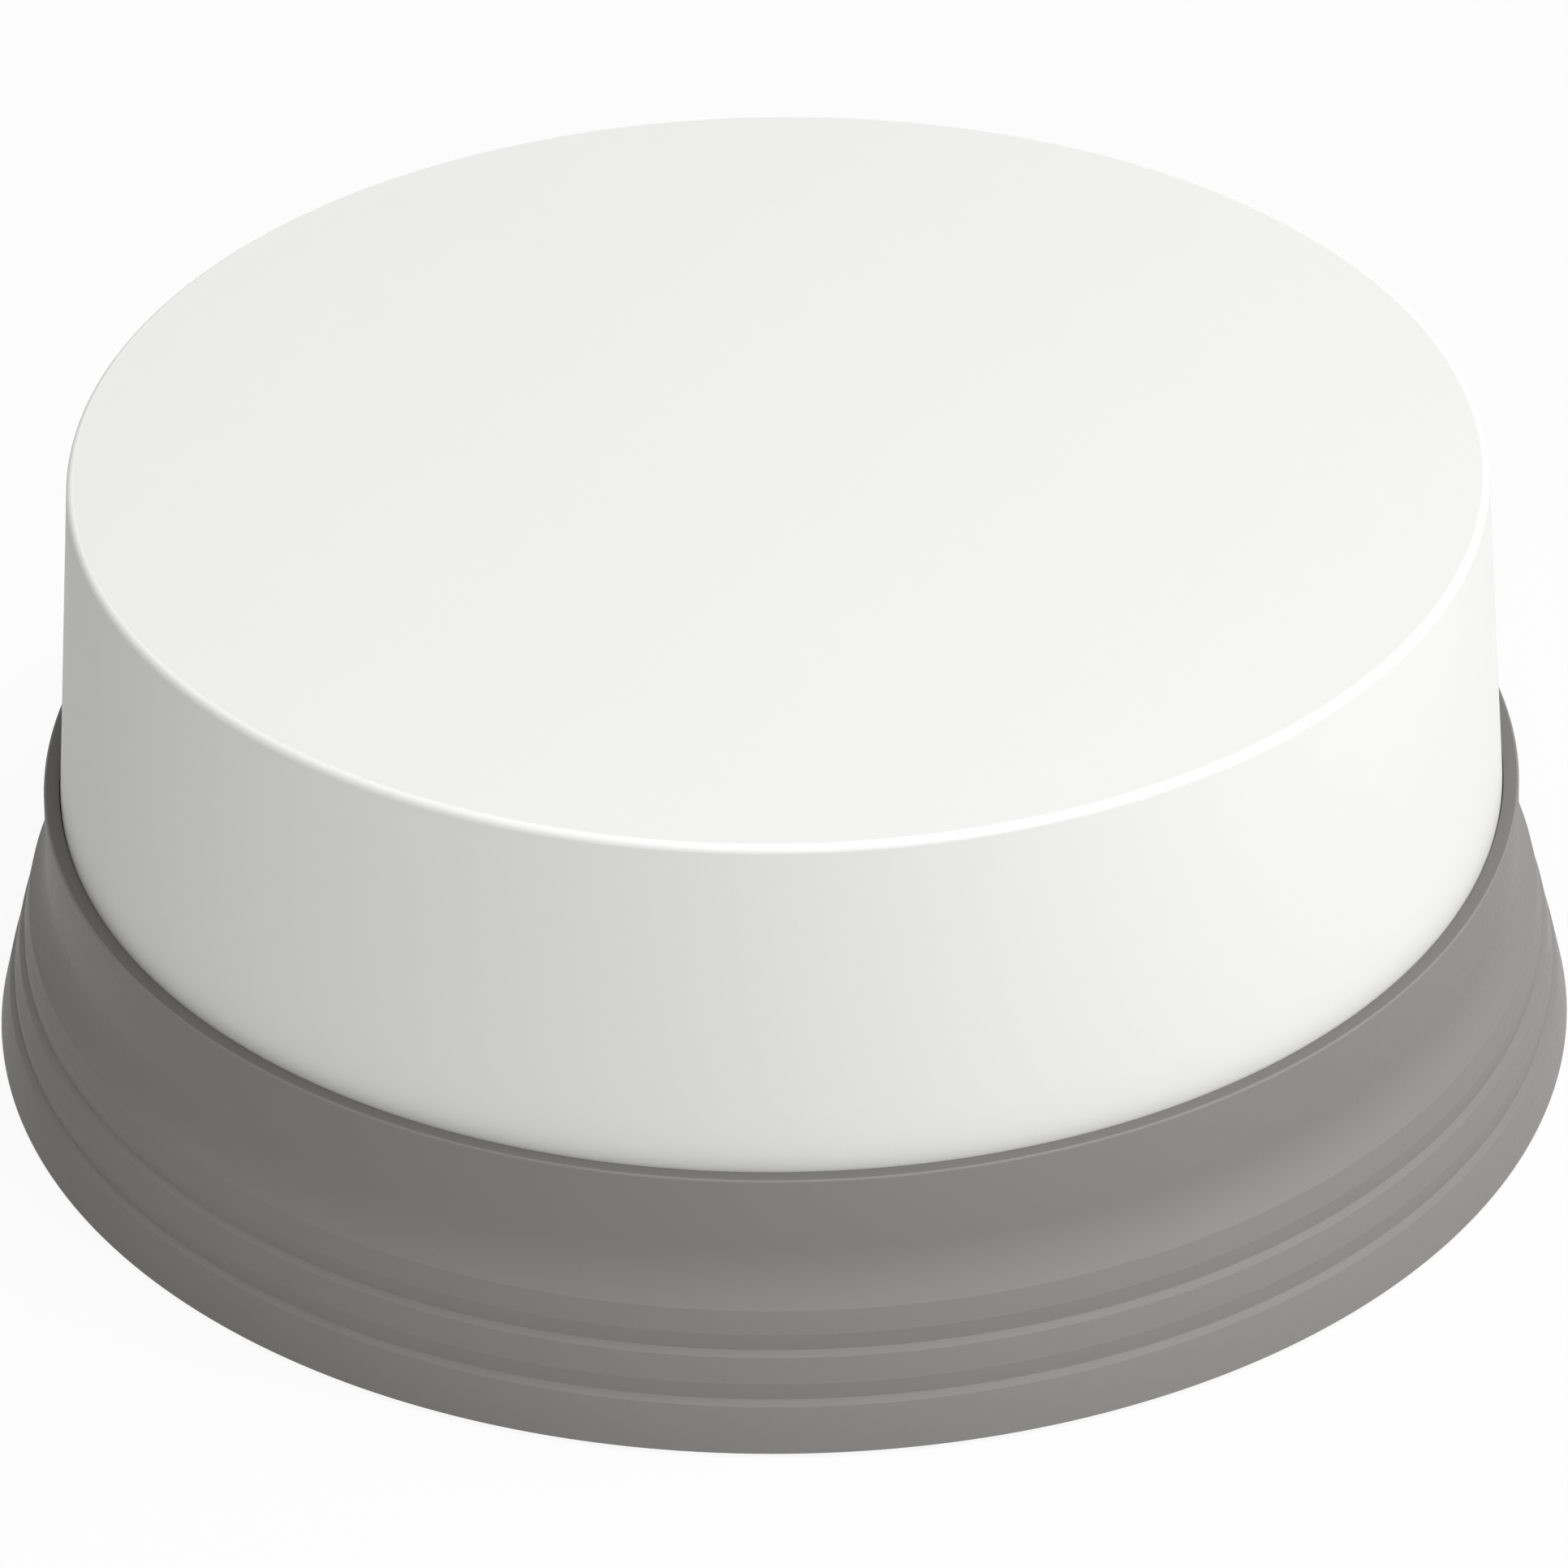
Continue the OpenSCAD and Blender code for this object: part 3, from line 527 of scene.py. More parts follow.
def moulding(
    name, colour, roughness, mottle=0.05, grain=4000.0, bump=0.00001, edge=1.15, specular=0.5, zone=None
):
    """Injection-moulded plastic with a fine grain and slightly polished, paler edges."""
    skin = (
        "Moulded Grain",
        {"Colour": opaque(colour), "Mottle": mottle, "Roughness": roughness, "Grain_Scale": grain},
    )
    wear = (0.5, 0.00025, opaque(colour, edge), -0.08)
    return finished(name, skin, bump, wear, specular=specular, zone=zone)


def metal(name, colour, roughness, lines=60.0, bump=0.000006):
    """Bare metal with brushed or drawn lines and brighter edges."""
    skin = ("Brushed Lines", {"Colour": opaque(colour), "Roughness": roughness, "Line_Scale": lines})
    wear = (0.6, 0.0002, opaque(colour, 1.25), -0.08)
    return finished(name, skin, bump, wear, metallic=1.0)


def rubber(name, colour):
    """Black rubber with a pale bloom."""
    skin = ("Rubber Bloom", {"Colour": opaque(colour), "Bloom": 0.3, "Roughness": 0.62})
    wear = (0.3, 0.0003, opaque(colour, 2.0), -0.05)
    return finished(name, skin, 0.00001, wear)


# ---- Values of the sidebar panel ----


class RingSizes(bpy.types.PropertyGroup):
    """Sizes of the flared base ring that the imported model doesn't measure by its box."""

    lip: FloatProperty(
        name="Lip Width", description="Width of the ring's lip round the cap", default=0.0008, unit="LENGTH"
    )
    riser_draft: FloatProperty(
        name="Riser Draft",
        description="Draft of the three risers of the flare",
        default=math.radians(13),
        subtype="ANGLE",
    )
    risers: FloatVectorProperty(
        name="Risers",
        description="Heights at which the risers end, from the lowest up",
        default=(0.00228, 0.00462, 0.00684),
        unit="LENGTH",
        precision=5,
    )
    band: FloatProperty(
        name="Band", description="Height of the upright bands", default=0.00082, unit="LENGTH", precision=5
    )
    cove_top: FloatProperty(
        name="Cove Top",
        description="Height where the cove meets the wall",
        default=0.00967,
        unit="LENGTH",
        precision=5,
    )
    crest: FloatProperty(
        name="Crest Radius",
        description="Radius of the lip's outer edge",
        default=0.00012,
        unit="LENGTH",
        precision=5,
    )
    steps: IntProperty(name="Steps Round", description="Segments round the axis", default=288, min=96)


class CapSizes(bpy.types.PropertyGroup):
    """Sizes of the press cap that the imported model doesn't measure by its box."""

    draft: FloatProperty(
        name="Wall Draft", description="Draft of the side wall", default=math.radians(3.65), subtype="ANGLE"
    )
    edge: FloatProperty(
        name="Edge Radius", description="Radius of the top edge", default=0.00034, unit="LENGTH", precision=5
    )
    wall: FloatProperty(
        name="Wall", description="Thickness of the side wall", default=0.0018, unit="LENGTH", precision=5
    )
    top: FloatProperty(
        name="Top", description="Thickness of the top", default=0.0024, unit="LENGTH", precision=5
    )
    rib: FloatProperty(
        name="Rib", description="Thickness of the ribs", default=0.0012, unit="LENGTH", precision=5
    )
    steps: IntProperty(name="Steps Round", description="Segments round the axis", default=288, min=96)


class WireSizes(bpy.types.PropertyGroup):
    """The return springs and the two leads."""

    coil: FloatProperty(
        name="Coil",
        description="Mean diameter of a return spring",
        default=0.0102,
        unit="LENGTH",
        precision=5,
    )
    wire: FloatProperty(
        name="Wire",
        description="Wire diameter of a return spring",
        default=0.0009,
        unit="LENGTH",
        precision=5,
    )
    curls: IntProperty(name="Active Curls", description="Curls between the two closer end curls", default=5)
    lead: FloatProperty(
        name="Lead", description="Outer diameter of a lead", default=0.0014, unit="LENGTH", precision=5
    )


class Colours(bpy.types.PropertyGroup):
    """Base colours of the finishes."""

    cap: FloatVectorProperty(
        name="Cap", description="Cap moulding", default=(0.862, 0.862, 0.852), subtype="COLOR"
    )
    base: FloatVectorProperty(
        name="Base", description="Base ring moulding", default=(0.2510, 0.2448, 0.2386), subtype="COLOR"
    )
    chassis: FloatVectorProperty(
        name="Chassis", description="Chassis moulding", default=(0.028, 0.028, 0.030), subtype="COLOR"
    )
    bush: FloatVectorProperty(
        name="Bushes", description="Guide bushes and striker", default=(0.72, 0.69, 0.60), subtype="COLOR"
    )
    case: FloatVectorProperty(
        name="Switch Case", description="Switch case moulding", default=(0.035, 0.037, 0.045), subtype="COLOR"
    )
    plunger: FloatVectorProperty(
        name="Plunger", description="Switch plunger", default=(0.50, 0.035, 0.025), subtype="COLOR"
    )
    block: FloatVectorProperty(
        name="Block", description="Terminal block", default=(0.035, 0.20, 0.075), subtype="COLOR"
    )
    lead_a: FloatVectorProperty(
        name="Lead A", description="First lead", default=(0.48, 0.03, 0.02), subtype="COLOR"
    )
    lead_b: FloatVectorProperty(
        name="Lead B", description="Second lead", default=(0.02, 0.02, 0.022), subtype="COLOR"
    )
    rubber: FloatVectorProperty(
        name="Rubber", description="Seals, gasket and washers", default=(0.018, 0.018, 0.019), subtype="COLOR"
    )


class StageValues(bpy.types.PropertyGroup):
    """Camera, lamps, world and floor."""

    target: FloatVectorProperty(
        name="Target",
        description="Point that the camera looks at",
        default=(0.000125, 0.0, 0.01193),
        subtype="XYZ",
        unit="LENGTH",
        precision=6,
    )
    elevation: FloatProperty(
        name="Elevation",
        description="Camera above the horizon",
        default=math.radians(32.696),
        subtype="ANGLE",
    )
    roll: FloatProperty(
        name="Roll",
        description="Turn of the picture about its centre",
        default=math.radians(-0.6755),
        subtype="ANGLE",
    )
    distance: FloatProperty(
        name="Distance", description="Camera to the point it looks at", default=0.4993, unit="LENGTH"
    )
    lens: FloatProperty(
        name="Lens", description="Focal length in millimetres on a 36 mm sensor", default=238.13
    )
    lamps: FloatProperty(name="Lamps", description="Factor on the power of every lamp", default=1.0)
    ambient: FloatProperty(
        name="Ambient", description="Strength of the even light of the world", default=0.0
    )
    floor_white: FloatProperty(
        name="Floor White", description="Share of plain white in the floor that the camera sees", default=0.92
    )


# ---- Pieces ----


def recess(level, first, last, floor):
    """Four corners that leave a level at one radius, run along a floor and come back at another radius."""
    return [(first, level), (first, floor), (last, floor), (last, level)]


def rectangle(near, far, low, high):
    """Four corners, counter-clockwise from the lower one nearest to the axis."""
    return [(near, low), (far, low), (far, high), (near, high)]


def ring_profile(size):
    """The base ring's section: risers, ledges, cove and lip outside, then bore, flange, core and grooves."""
    slope = math.tan(size.riser_draft)
    lip_r, bore_r = CAP_R + size.lip / MM, CAP_R + CAP_GAP
    wall_r = lip_r + LIP_STEP
    *ledge_tops, riser_top = [h / MM for h in size.risers]
    outer, radii, foot_r, foot_z = [(RIM_R, 0.0)], [0.05], RIM_R, 0.0
    for top in ledge_tops:
        end_r = foot_r - (top - foot_z) * slope
        foot_r, foot_z = end_r - LEDGE_W, top + LEDGE_H + size.band / MM
        outer += [(end_r, top), (foot_r, top + LEDGE_H), (foot_r, foot_z)]
        radii += [0.10, 0.06, 0.05]
    end_r = foot_r - (riser_top - foot_z) * slope
    cove_top = size.cove_top / MM
    cove_w, cove_h = end_r - wall_r, cove_top - riser_top
    cove_r = (cove_w**2 + cove_h**2) / (2 * cove_w)
    sweep = math.degrees(math.asin(cove_h / cove_r))
    cove = arc((wall_r + cove_r, cove_top), cove_r, 180 + sweep, 180, 28)[1:]
    outer += [(end_r, riser_top), *cove, (lip_r, BASE_H), (bore_r, BASE_H)]
    radii += [0.10] + [0.0] * len(cove) + [size.crest / MM, 0.03]
    inner = [
        (bore_r, FLANGE_TOP),
        *recess(FLANGE_TOP, *STOP_GROOVE),
        *recess(FLANGE_TOP, *SEAL_GROOVE),
        (THROAT_R, FLANGE_TOP),
        (THROAT_R, FLANGE_FOOT),
        (SKIRT_R, FLANGE_FOOT),
        (SKIRT_R, PLATE_TOP),
        *recess(PLATE_TOP, *CORE),
        (PLATE_SEAT_R, PLATE_TOP),
        (PLATE_SEAT_R, 0.0),
        *recess(0.0, *GASKET_GROOVE),
    ]
    return filleted(outer + inner, radii + [0.06] * len(inner), steps=4)


def ring_bosses():
    """Under the flange: six bosses with holes for the plate's inserts, six stubs for the deck's screws."""
    fused = FLANGE_FOOT + RING_OVERLAP
    boss_at, boss_r, hole_end = 30.9, 2.95, 6.4
    boss = [
        (INSERT_HOLE_R, PLATE_TOP),
        (INSERT_HOLE_R, hole_end),
        (0, hole_end),
        (0, fused),
        (boss_r, fused),
        (boss_r, PLATE_TOP),
    ]
    stub_at, stub_r, bore_r, stub_foot = 30.2, 2.15, 1.0, 4.5
    stub = recess(stub_foot, bore_r, stub_r, fused)
    sixth = np.radians(60.0 * np.arange(6))
    return joined([
        round_the_axis(lathe(filleted(boss, 0.08, 3), 48), sixth + math.radians(30), boss_at),
        round_the_axis(lathe(filleted(stub, 0.08, 3), 40), sixth, stub_at),
    ])  # fmt: skip


def ring_webs():
    """Twelve webs that bridge the core: narrow and wide ones in turn, a little into the walls round it."""
    near, far, end = CORE
    fill = rectangle(near - 0.05, far + 0.06, PLATE_TOP + 0.02, end + 0.05)
    webs = []
    for first, steps, width in ((0, 6, 4), (30, 30, 34)):
        webs += [lathe(fill, steps, turn - width / 2, width) for turn in range(first, first + 360, 60)]
    return joined(webs)


def show_ring(finish, size):
    """The base ring: one closed profile turned about the axis, with bosses and core webs inside it."""
    ring = lathe(ring_profile(size), size.steps)
    piece("flared_ring", ring, finish, "housing", ["bezel_ring"], crease=20)
    piece("ring_bosses", ring_bosses(), finish, "housing")
    piece("ring_webs", ring_webs(), finish, "housing")


def show_gasket(finish):
    """The mounting gasket, a rounded rubber ring in the foot of the base ring."""
    near, far, height = GASKET_GROOVE
    slack = 0.06
    profile = filleted(rectangle(near + slack, far - slack, 0.0, height - slack), 0.22, 6)
    piece("foot_gasket", lathe(profile, 256), finish, "housing", ["base_gasket"])


def top_radius(size):
    """The cap's radius at its top in millimetres: the drafted wall starts at the height of the lip."""
    return CAP_R - (CAP_TOP - BASE_H) * math.tan(size.draft)


def cap_web(size, fused):
    """Twelve spokes, a hoop and a hub under the top; the spokes that meet a boss stop at its pad."""
    half = size.rib / MM / 2
    upright = filleted(rectangle(-half, half, RIB_FOOT, fused), [0.15, 0.15, 0, 0], 3)
    hub_end, pad_gap = 3.4, 0.1
    wall_r = top_radius(size) - size.wall / MM + WALL_OVERLAP
    whole = [(hub_end, wall_r)]
    split = [(hub_end, GUIDE_R - PAD_R + pad_gap), (GUIDE_R + PAD_R - pad_gap, wall_r)]
    parts = []
    for k in range(12):
        for near, far in split if k % 4 == 3 else whole:
            path = np.array([[near, 0.0, 0.0], [(near + far) / 2, 0.0, 0.0], [far, 0.0, 0.0]])
            parts.append(placed(carried(upright, path, (0.0, 0.0, 1.0)), angle=math.radians(30 * k)))
    parts.append(lathe(upright + np.array([HOOP_R, 0.0]), 160))
    hub = filleted(rectangle(HUB_HOLE_R, HUB_R, HUB_FOOT, fused), [0.1, 0.2, 0, 0], 4)
    parts.append(lathe(hub, 64))
    return joined(parts)


def show_cap(finish, size):
    """The press cap: a thin turned shell with bosses, spring pads, a guard ring and a web of ribs inside."""
    edge_r = top_radius(size)
    wall = size.wall / MM
    ceiling = CAP_TOP - size.top / MM
    fused = ceiling + TOP_OVERLAP
    outer = [(CAP_R, CAP_FOOT), (CAP_R, BASE_H), (edge_r, CAP_TOP), (0.0, CAP_TOP)]
    inner = [(0.0, ceiling), (edge_r - wall, ceiling), (CAP_R - wall, CAP_FOOT)]
    shell = filleted(outer + inner, [0.15, 0.0, size.edge / MM, 0, 0, 1.2, 0.15], 10)
    guard = filleted(rectangle(GUARD_IN, GUARD_OUT, GUARD_FOOT, fused), [0.12, 0.12, 0, 0], 4)
    boss = filleted(
        [
            (INSERT_HOLE_R, BOSS_FOOT),
            (BOSS_R, BOSS_FOOT),
            (BOSS_R, PAD_FOOT),
            (PAD_R, PAD_FOOT),
            (PAD_R, fused),
            (0, fused),
            (0, BOSS_HOLE_END),
            (INSERT_HOLE_R, BOSS_HOLE_END),
        ],
        [0.1, 0.2, 0.25, 0.1, 0, 0, 0, 0.1],
        4,
    )
    bosses = round_the_axis(lathe(boss, 64), GUIDE_ANGLES, GUIDE_R)
    piece("press_cap", lathe(shell, size.steps), finish, "button", ["button_cap"], crease=20)
    piece("cap_guard", lathe(guard, 256), finish, "button")
    piece("cap_bosses", bosses, finish, "button")
    piece("cap_web", cap_web(size, fused), finish, "button")


def coil_path(size, steps=40):
    """The spring's centre line in millimetres: a helix whose pitch is less over its first and last curl."""
    wire, end_pitch, soften = size.wire / MM, 1.45, 12
    low, high = SPRING_SEAT + wire / 2, SPRING_TOP - wire / 2
    curls = size.curls + 2
    c = np.linspace(0, curls, curls * steps + 1)
    pitch = (high - low - 2 * end_pitch) / size.curls
    z = np.interp(c, [0, 1, curls - 1, curls], [0, end_pitch, end_pitch + pitch * size.curls, high - low])
    window = np.ones(2 * soften + 1) / (2 * soften + 1)
    soft = np.convolve(np.pad(z, soften, mode="reflect", reflect_type="odd"), window, mode="valid")
    r = size.coil / MM / 2
    return np.stack([r * np.cos(2 * np.pi * c), r * np.sin(2 * np.pi * c), low + soft], axis=1)


def show_springs(finish, size):
    """Three smooth coil springs that stand on their seats."""
    round_wire = arc((0, 0), size.wire / MM / 2, 0, 360, 14)[:-1]
    coil = carried(round_wire, coil_path(size), (0.0, 0.0, 1.0))
    three = round_the_axis(coil, GUIDE_ANGLES, GUIDE_R)
    coils = piece("coil_springs", three, finish, "housing", ["return_springs"], crease=50)
    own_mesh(coils)


def show_leads(finishes, size):
    """The two leads: a round section carried down from a switch tab, level under the deck and up again."""
    section = arc((0, 0), size.lead / MM / 2, 0, 360, 16)[:-1]
    bend = LEAD_BEND
    for name, finish, (near, far) in zip(("lead_a", "lead_b"), finishes, LEAD_RUNS):
        near, far = np.array(near), np.array(far)
        run = np.linalg.norm(far - near)
        way = (far - near) / run
        level = np.linspace(bend, run - bend, 24)[1:-1]
        down = arc((bend, LEAD_START), bend, 180, 270, 12)
        along = np.stack([level, np.full(len(level), LEAD_START - bend)], axis=1)
        rise = arc((run - bend, LEAD_START), bend, 270, 360, 12)
        flat = np.concatenate([down, along, rise, [[run, LEAD_END]]])
        path = np.concatenate([near + flat[:, :1] * way, flat[:, 1:]], axis=1)
        lead = carried(section, path, (-way[1], way[0], 0.0))
        replaced = ["switch_leads"] if name == "lead_a" else []
        piece(name, lead, finish, "housing", replaced, crease=50)


# ---- Stage ----

SENSOR_WIDTH = 36.0
FLOOR_HALF, FLOOR_DROP = 3.0, 0.0002
LAMP_DISTANCE, LAMP_SIZE = 0.9, 0.5

# name, azimuth (0 is the camera's side, 90 the right of the picture), elevation, power in watts
LAMPS = [
    ("top_right", 75, 75, 3.97),
    ("top_front", 0, 75, 2.21),
    ("key_right", 75, 20, 2.95),
    ("fill_front", 0, 20, 1.73),
    ("side_right", 100, 50, 1.38),
    ("fill_left", -50, 20, 0.42),
]


def seen_directly(tree):
    """1 for camera, glossy and transmission rays, and 0 for the rays that light the object."""
    path = tree.nodes.new("ShaderNodeLightPath")
    mirror = compute(tree, "MAXIMUM", path.outputs["Is Glossy Ray"], path.outputs["Is Transmission Ray"])
    return compute(tree, "MAXIMUM", path.outputs["Is Camera Ray"], mirror)


def show_floor(values):
    """A pale floor under the object: white to the eye, but it keeps the object's soft shadow."""
    material = bpy.data.materials.new("pale_floor")
    material.use_nodes = True
    tree = material.node_tree
    matt = next(n for n in tree.nodes if n.type == "BSDF_PRINCIPLED")
    matt.inputs["Base Color"].default_value = (0.8, 0.8, 0.8, 1.0)
    matt.inputs["Roughness"].default_value = 0.9
    matt.inputs["Specular IOR Level"].default_value = 0.0
    white = tree.nodes.new("ShaderNodeEmission")
    white.inputs["Color"].default_value = WHITE
    share = compute(tree, "MULTIPLY", seen_directly(tree), values.floor_white)
    mix = tree.nodes.new("ShaderNodeMixShader")
    tree.links.new(share, mix.inputs["Fac"])
    tree.links.new(matt.outputs["BSDF"], mix.inputs[1])
    tree.links.new(white.outputs["Emission"], mix.inputs[2])
    out = next(n for n in tree.nodes if n.type == "OUTPUT_MATERIAL")
    tree.links.new(mix.outputs["Shader"], out.inputs["Surface"])
    mesh = bpy.data.meshes.new("floor")
    s, z = FLOOR_HALF, -FLOOR_DROP
    mesh.from_pydata([(-s, -s, z), (s, -s, z), (s, s, z), (-s, s, z)], [], [(0, 1, 2, 3)])
    mesh.materials.append(material)
    floor = bpy.data.objects.new("floor", mesh)
    bpy.context.scene.collection.objects.link(floor)


def show_world(values):
    """White to the eye and in reflections, and an even grey light otherwise."""
    world = bpy.data.worlds.new("studio")
    bpy.context.scene.world = world
    world.use_nodes = True
    tree = world.node_tree
    sky = next(n for n in tree.nodes if n.type == "BACKGROUND")
    sky.inputs["Color"].default_value = WHITE
    strength = spread(tree, seen_directly(tree), 0.0, 1.0, values.ambient, 1.0)
    tree.links.new(strength, sky.inputs["Strength"])


def lamp(name, azimuth, elevation, power):
    """A square area lamp on a sphere round the object, aimed at its middle; angles in degrees."""
    a, e = math.radians(azimuth), math.radians(elevation)
    way = Vector((math.sin(a) * math.cos(e), -math.cos(a) * math.cos(e), math.sin(e)))
    data = bpy.data.lights.new(name, "AREA")
    data.shape = "SQUARE"
    data.size = LAMP_SIZE
    data.energy = power
    obj = bpy.data.objects.new(name, data)
    obj.location = Vector((0, 0, CAP_TOP * MM / 2)) + way * LAMP_DISTANCE
    obj.rotation_euler = way.to_track_quat("Z", "Y").to_euler()
    bpy.context.scene.collection.objects.link(obj)


def show_lamps(values):
    """Soft lamps round the object, strongest from above and from the right."""
    for name, azimuth, elevation, power in LAMPS:
        lamp(name, azimuth, elevation, power * values.lamps)


def show_camera(values):
    """The photograph's camera: on the front side, looking down, with a slight roll."""
    way = Vector((0, -math.cos(values.elevation), math.sin(values.elevation)))
    right, up = Vector((1, 0, 0)), way.cross(Vector((1, 0, 0)))
    c, s = math.cos(values.roll), math.sin(values.roll)
    turned = Matrix((right * c + up * s, up * c - right * s, way)).transposed()
    data = bpy.data.cameras.new("camera")
    data.lens, data.sensor_width = values.lens, SENSOR_WIDTH
    data.clip_start = 0.01
    camera = bpy.data.objects.new("camera", data)
    place = Vector(values.target) + way * values.distance
    camera.matrix_world = Matrix.Translation(place) @ turned.to_4x4()
    bpy.context.scene.collection.objects.link(camera)
    bpy.context.scene.camera = camera


def dress(nodes, material):
    """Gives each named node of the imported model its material."""
    for name in nodes:
        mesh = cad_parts[name].data
        mesh.materials.clear()
        mesh.materials.append(material)


# ---- Finishes of the pieces ----

# Mouldings: the panel's colour, the roughness and the values that differ from the usual ones
MOULDINGS = {
    "cap_white": (
        "cap",
        0.52,
        {"mottle": 0.02, "grain": 5200.0, "bump": 0.000004, "edge": 1.03, "specular": 0.25},
    ),
    "base_grey": (
        "base",
        0.5,
        {"mottle": 0.08, "grain": 3600.0, "bump": 0.000008, "edge": 1.0, "specular": 0.1},
    ),
    "chassis_black": ("chassis", 0.5, {"mottle": 0.2, "edge": 1.8}),
    "bush_natural": ("bush", 0.42, {"mottle": 0.08, "bump": 0.000004}),
    "switch_dark": ("case", 0.4, {"mottle": 0.2, "bump": 0.000006, "edge": 1.8}),
    "plunger_red": ("plunger", 0.35, {"mottle": 0.08, "bump": 0.000003}),
    "block_green": ("block", 0.42, {"mottle": 0.15, "bump": 0.000005, "edge": 1.3}),
    "lead_red": ("lead_a", 0.38, {"mottle": 0.1, "bump": 0.000003}),
    "lead_black": ("lead_b", 0.38, {"mottle": 0.2, "bump": 0.000003}),
}
# Metals: colour, roughness and the values that differ from the usual ones
METALS = {
    "stainless": ((0.58, 0.575, 0.56), 0.34, {"lines": 70.0}),
    "screw_steel": ((0.56, 0.56, 0.55), 0.3, {"lines": 160.0}),
    "insert_brass": ((0.72, 0.50, 0.20), 0.32, {"lines": 200.0}),
    "spring_steel": ((0.55, 0.56, 0.58), 0.26, {"lines": 240.0, "bump": 0.000003}),
    "terminal_tin": ((0.66, 0.655, 0.63), 0.4, {"lines": 180.0}),
}
FINISHES = {}

# How far the painted highlight on the cap's rim and the painted shade on the lip reach in and down from their
# edges, in millimetres
RIM_IN, RIM_DOWN = 0.35, 0.4
SHADE_IN, SHADE_DOWN = 0.08, 0.1


def cap_rim_highlight():
    """The painted highlight along the cap's top edge: its colour, and the zone outside a radius and above a
    height.
    """
    radius = top_radius(bpy.context.scene.button_cap) - RIM_IN
    height = CAP_TOP - RIM_DOWN
    values = {"Radius": radius * MM, "Side": -1.0, "Height": height * MM, "Fade": 0.0001, "Amount": 0.9}
    # The near-white colour laid over the rim zone is a painted highlight along the rounded top edge
    return (0.98, 0.98, 0.97, 1.0), values


def lip_shade():
    """The painted shade on the lip beside the cap: its colour, and the zone within its outer edge and near
    its top.
    """
    radius = CAP_R + bpy.context.scene.button_ring.lip / MM - SHADE_IN
    height = BASE_H - SHADE_DOWN
    # Mixing a third of the way to black paints the shade that the cap casts on the lip
    return BLACK, {"Radius": radius * MM, "Height": height * MM, "Fade": 0.00006, "Amount": 0.33}


# Materials with a ring of painted light: a painted highlight on the cap's rim, painted shade on the base
# ring's lip
PAINTED_LIGHT_ZONES = {"cap_white": cap_rim_highlight, "base_grey": lip_shade}


def finish_of(name):
    """The material of that name, made once."""
    colours = bpy.context.scene.button_colours
    if name in FINISHES:
        return FINISHES[name]
    if name in MOULDINGS:
        key, roughness, values = MOULDINGS[name]
        zone = PAINTED_LIGHT_ZONES[name]() if name in PAINTED_LIGHT_ZONES else None
        finish = moulding(name, getattr(colours, key), roughness, zone=zone, **values)
    elif name in METALS:
        colour, roughness, values = METALS[name]
        finish = metal(name, colour, roughness, **values)
    else:
        finish = rubber(name, colours.rubber)
    FINISHES[name] = finish
    return finish


# ---- Sidebar ----


class PUSH_BUTTON_OT_ring(bpy.types.Operator):
    """Turn the flared base ring from its profile"""

    bl_idname = "push_button.ring"
    bl_label = "Base Ring"

    def execute(self, context):
        show_ring(finish_of("base_grey"), context.scene.button_ring)
        show_gasket(finish_of("black_rubber"))
        return {"FINISHED"}


class PUSH_BUTTON_OT_cap(bpy.types.Operator):
    """Turn the press cap and build the web inside it"""

    bl_idname = "push_button.cap"
    bl_label = "Press Cap"

    def execute(self, context):
        show_cap(finish_of("cap_white"), context.scene.button_cap)
        return {"FINISHED"}


class PUSH_BUTTON_OT_springs(bpy.types.Operator):
    """Wind the three return springs"""

    bl_idname = "push_button.springs"
    bl_label = "Return Springs"

    def execute(self, context):
        show_springs(finish_of("spring_steel"), context.scene.button_wires)
        return {"FINISHED"}


class PUSH_BUTTON_OT_leads(bpy.types.Operator):
    """Run the two leads from the switch to the terminal block"""

    bl_idname = "push_button.leads"
    bl_label = "Leads"

    def execute(self, context):
        show_leads([finish_of("lead_red"), finish_of("lead_black")], context.scene.button_wires)
        return {"FINISHED"}


class PUSH_BUTTON_OT_fittings(bpy.types.Operator):
    """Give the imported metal, rubber and plastic pieces their finishes"""

    bl_idname = "push_button.fittings"
    bl_label = "Fittings"

    def execute(self, context):
        dressed = {
            "stainless": ["back_plate", "switch_bracket"],
            "screw_steel": [
                "press_nuts", "plate_screws", "chassis_screws", "bracket_screws", "switch_screws",
                "switch_nuts", "lever_pin", "clamp_screws", "shoulder_screws",
            ],
            "insert_brass": ["plate_inserts", "cap_inserts"],
            "spring_steel": ["switch_lever"],
            "terminal_tin": ["switch_terminals"],
            "black_rubber": ["cable_grommet", "chassis_oring", "stop_ring", "wiper_ring", "rebound_washers"],
            "chassis_black": ["chassis"],
            "bush_natural": ["guide_bushes", "striker"],
            "switch_dark": ["switch_case"],
            "plunger_red": ["switch_plunger"],
            "block_green": ["terminal_block"],
        }  # fmt: skip
        for name, nodes in dressed.items():
            dress(nodes, finish_of(name))
        return {"FINISHED"}


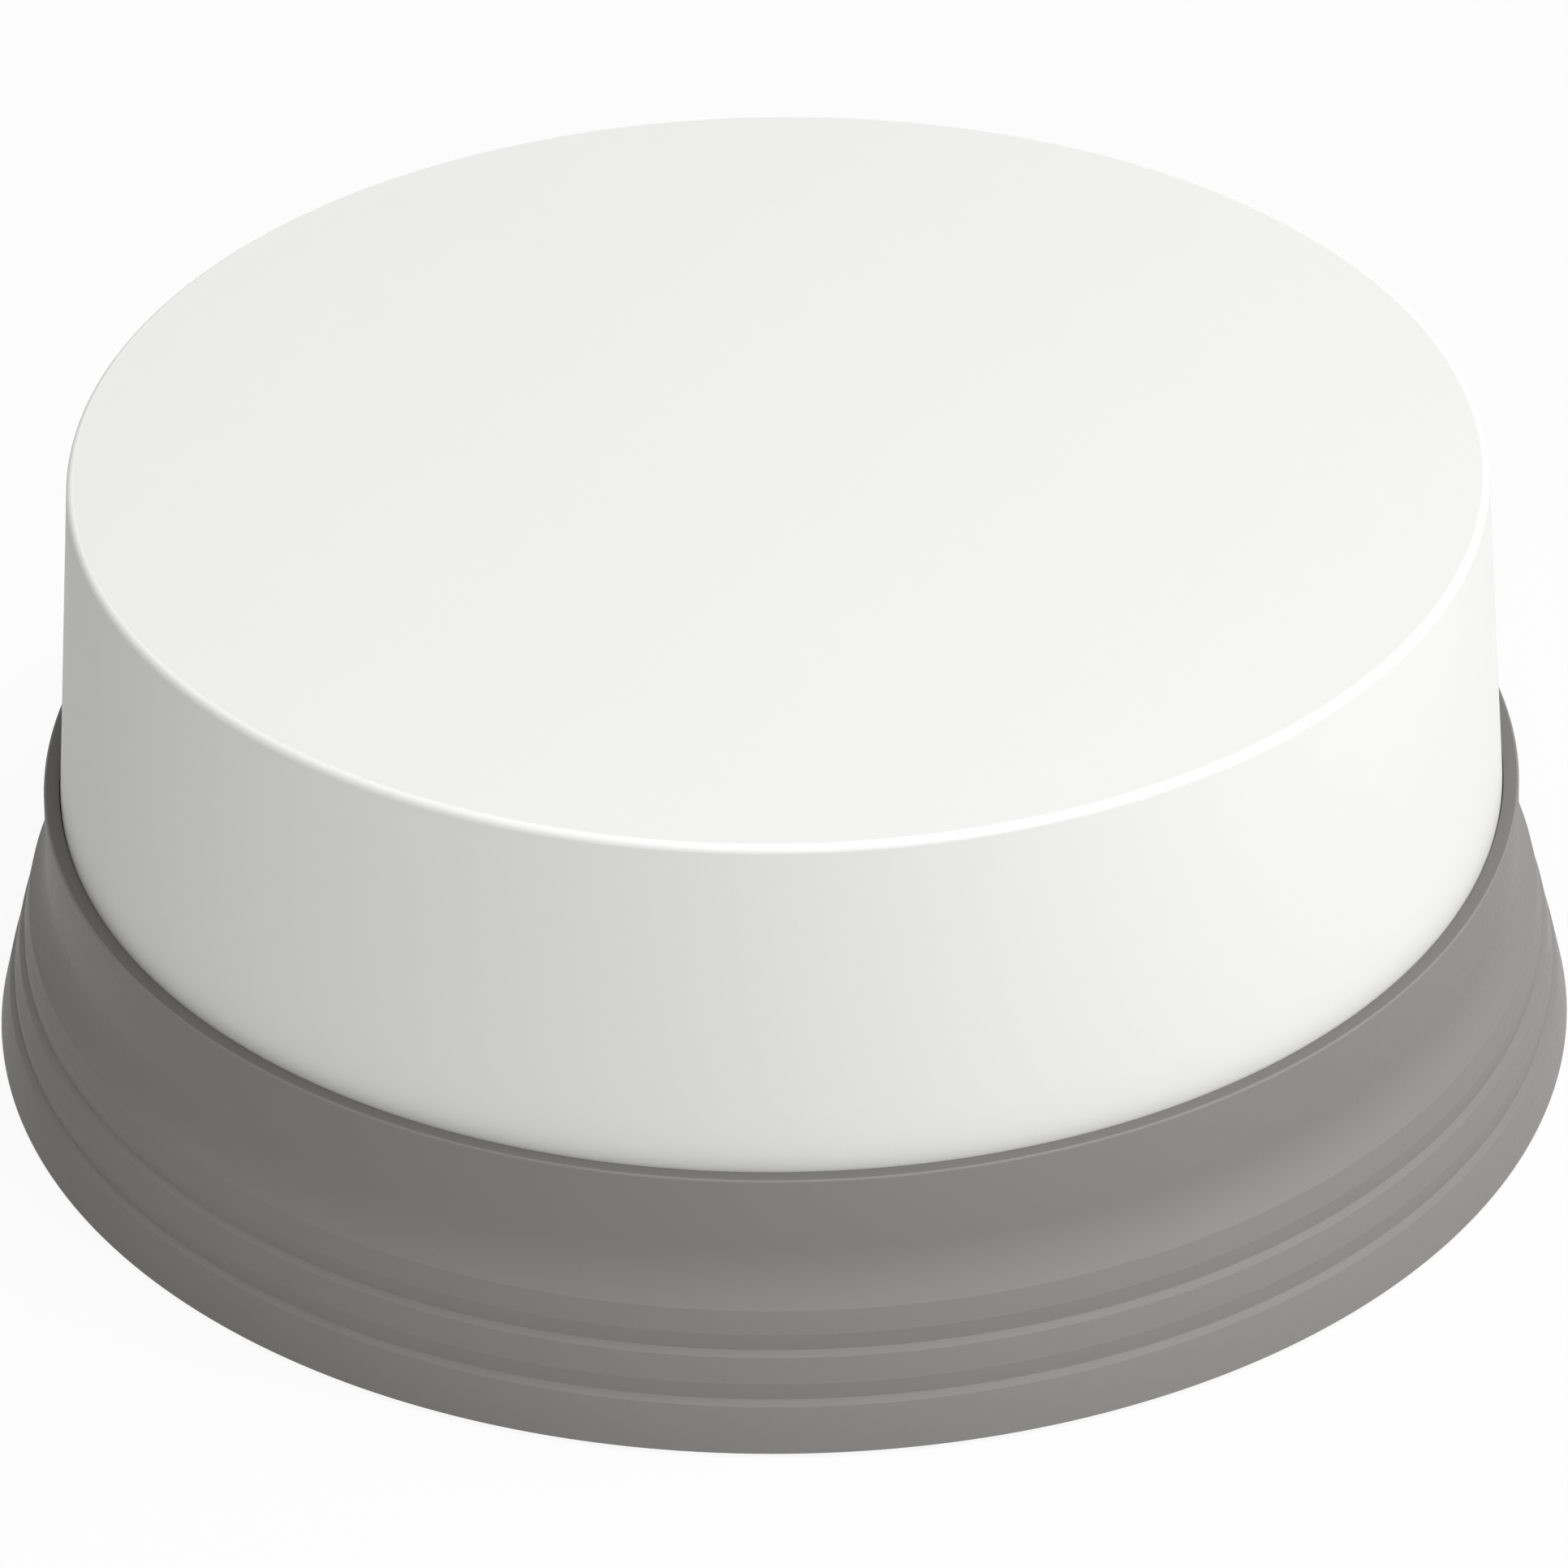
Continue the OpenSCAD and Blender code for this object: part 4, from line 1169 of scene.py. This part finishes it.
class PUSH_BUTTON_OT_stage(bpy.types.Operator):
    """Set up the floor, the lamps, the world and the camera"""

    bl_idname = "push_button.stage"
    bl_label = "Stage"

    def execute(self, context):
        values = context.scene.button_stage
        show_floor(values)
        show_world(values)
        show_lamps(values)
        show_camera(values)
        context.scene.view_settings.view_transform = "Standard"
        return {"FINISHED"}


class PUSH_BUTTON_PT_panel(bpy.types.Panel):
    """The push button's values and the operators that build it"""

    bl_idname = "PUSH_BUTTON_PT_panel"
    bl_label = "Push Button"
    bl_space_type = "VIEW_3D"
    bl_region_type = "UI"
    bl_category = "Push Button"

    def draw(self, context):
        scene = context.scene
        for title, values, operators in (
            ("Base ring", scene.button_ring, ["push_button.ring"]),
            ("Press cap", scene.button_cap, ["push_button.cap"]),
            ("Springs and leads", scene.button_wires, ["push_button.springs", "push_button.leads"]),
            ("Colours", scene.button_colours, ["push_button.fittings"]),
            ("Stage", scene.button_stage, ["push_button.stage"]),
        ):
            column = self.layout.box().column()
            column.label(text=title)
            for key in values.bl_rna.properties.keys():
                if key not in ("rna_type", "name"):
                    column.prop(values, key)
            for idname in operators:
                column.operator(idname)


PROPERTIES = {
    "button_ring": RingSizes,
    "button_cap": CapSizes,
    "button_wires": WireSizes,
    "button_colours": Colours,
    "button_stage": StageValues,
}
CLASSES = [
    *PROPERTIES.values(),
    PUSH_BUTTON_OT_ring,
    PUSH_BUTTON_OT_cap,
    PUSH_BUTTON_OT_springs,
    PUSH_BUTTON_OT_leads,
    PUSH_BUTTON_OT_fittings,
    PUSH_BUTTON_OT_stage,
    PUSH_BUTTON_PT_panel,
]


def register():
    """Adds the classes and the scene's values."""
    for cls in CLASSES:
        bpy.utils.register_class(cls)
    for name, cls in PROPERTIES.items():
        setattr(bpy.types.Scene, name, PointerProperty(type=cls))


def unregister():
    """Takes them away again."""
    for name in PROPERTIES:
        delattr(bpy.types.Scene, name)
    for cls in reversed(CLASSES):
        bpy.utils.unregister_class(cls)


def main():
    """Builds everything, in order."""
    register()
    bpy.ops.push_button.ring()
    bpy.ops.push_button.cap()
    bpy.ops.push_button.springs()
    bpy.ops.push_button.leads()
    bpy.ops.push_button.fittings()
    bpy.ops.push_button.stage()


if __name__ == "__main__":
    main()
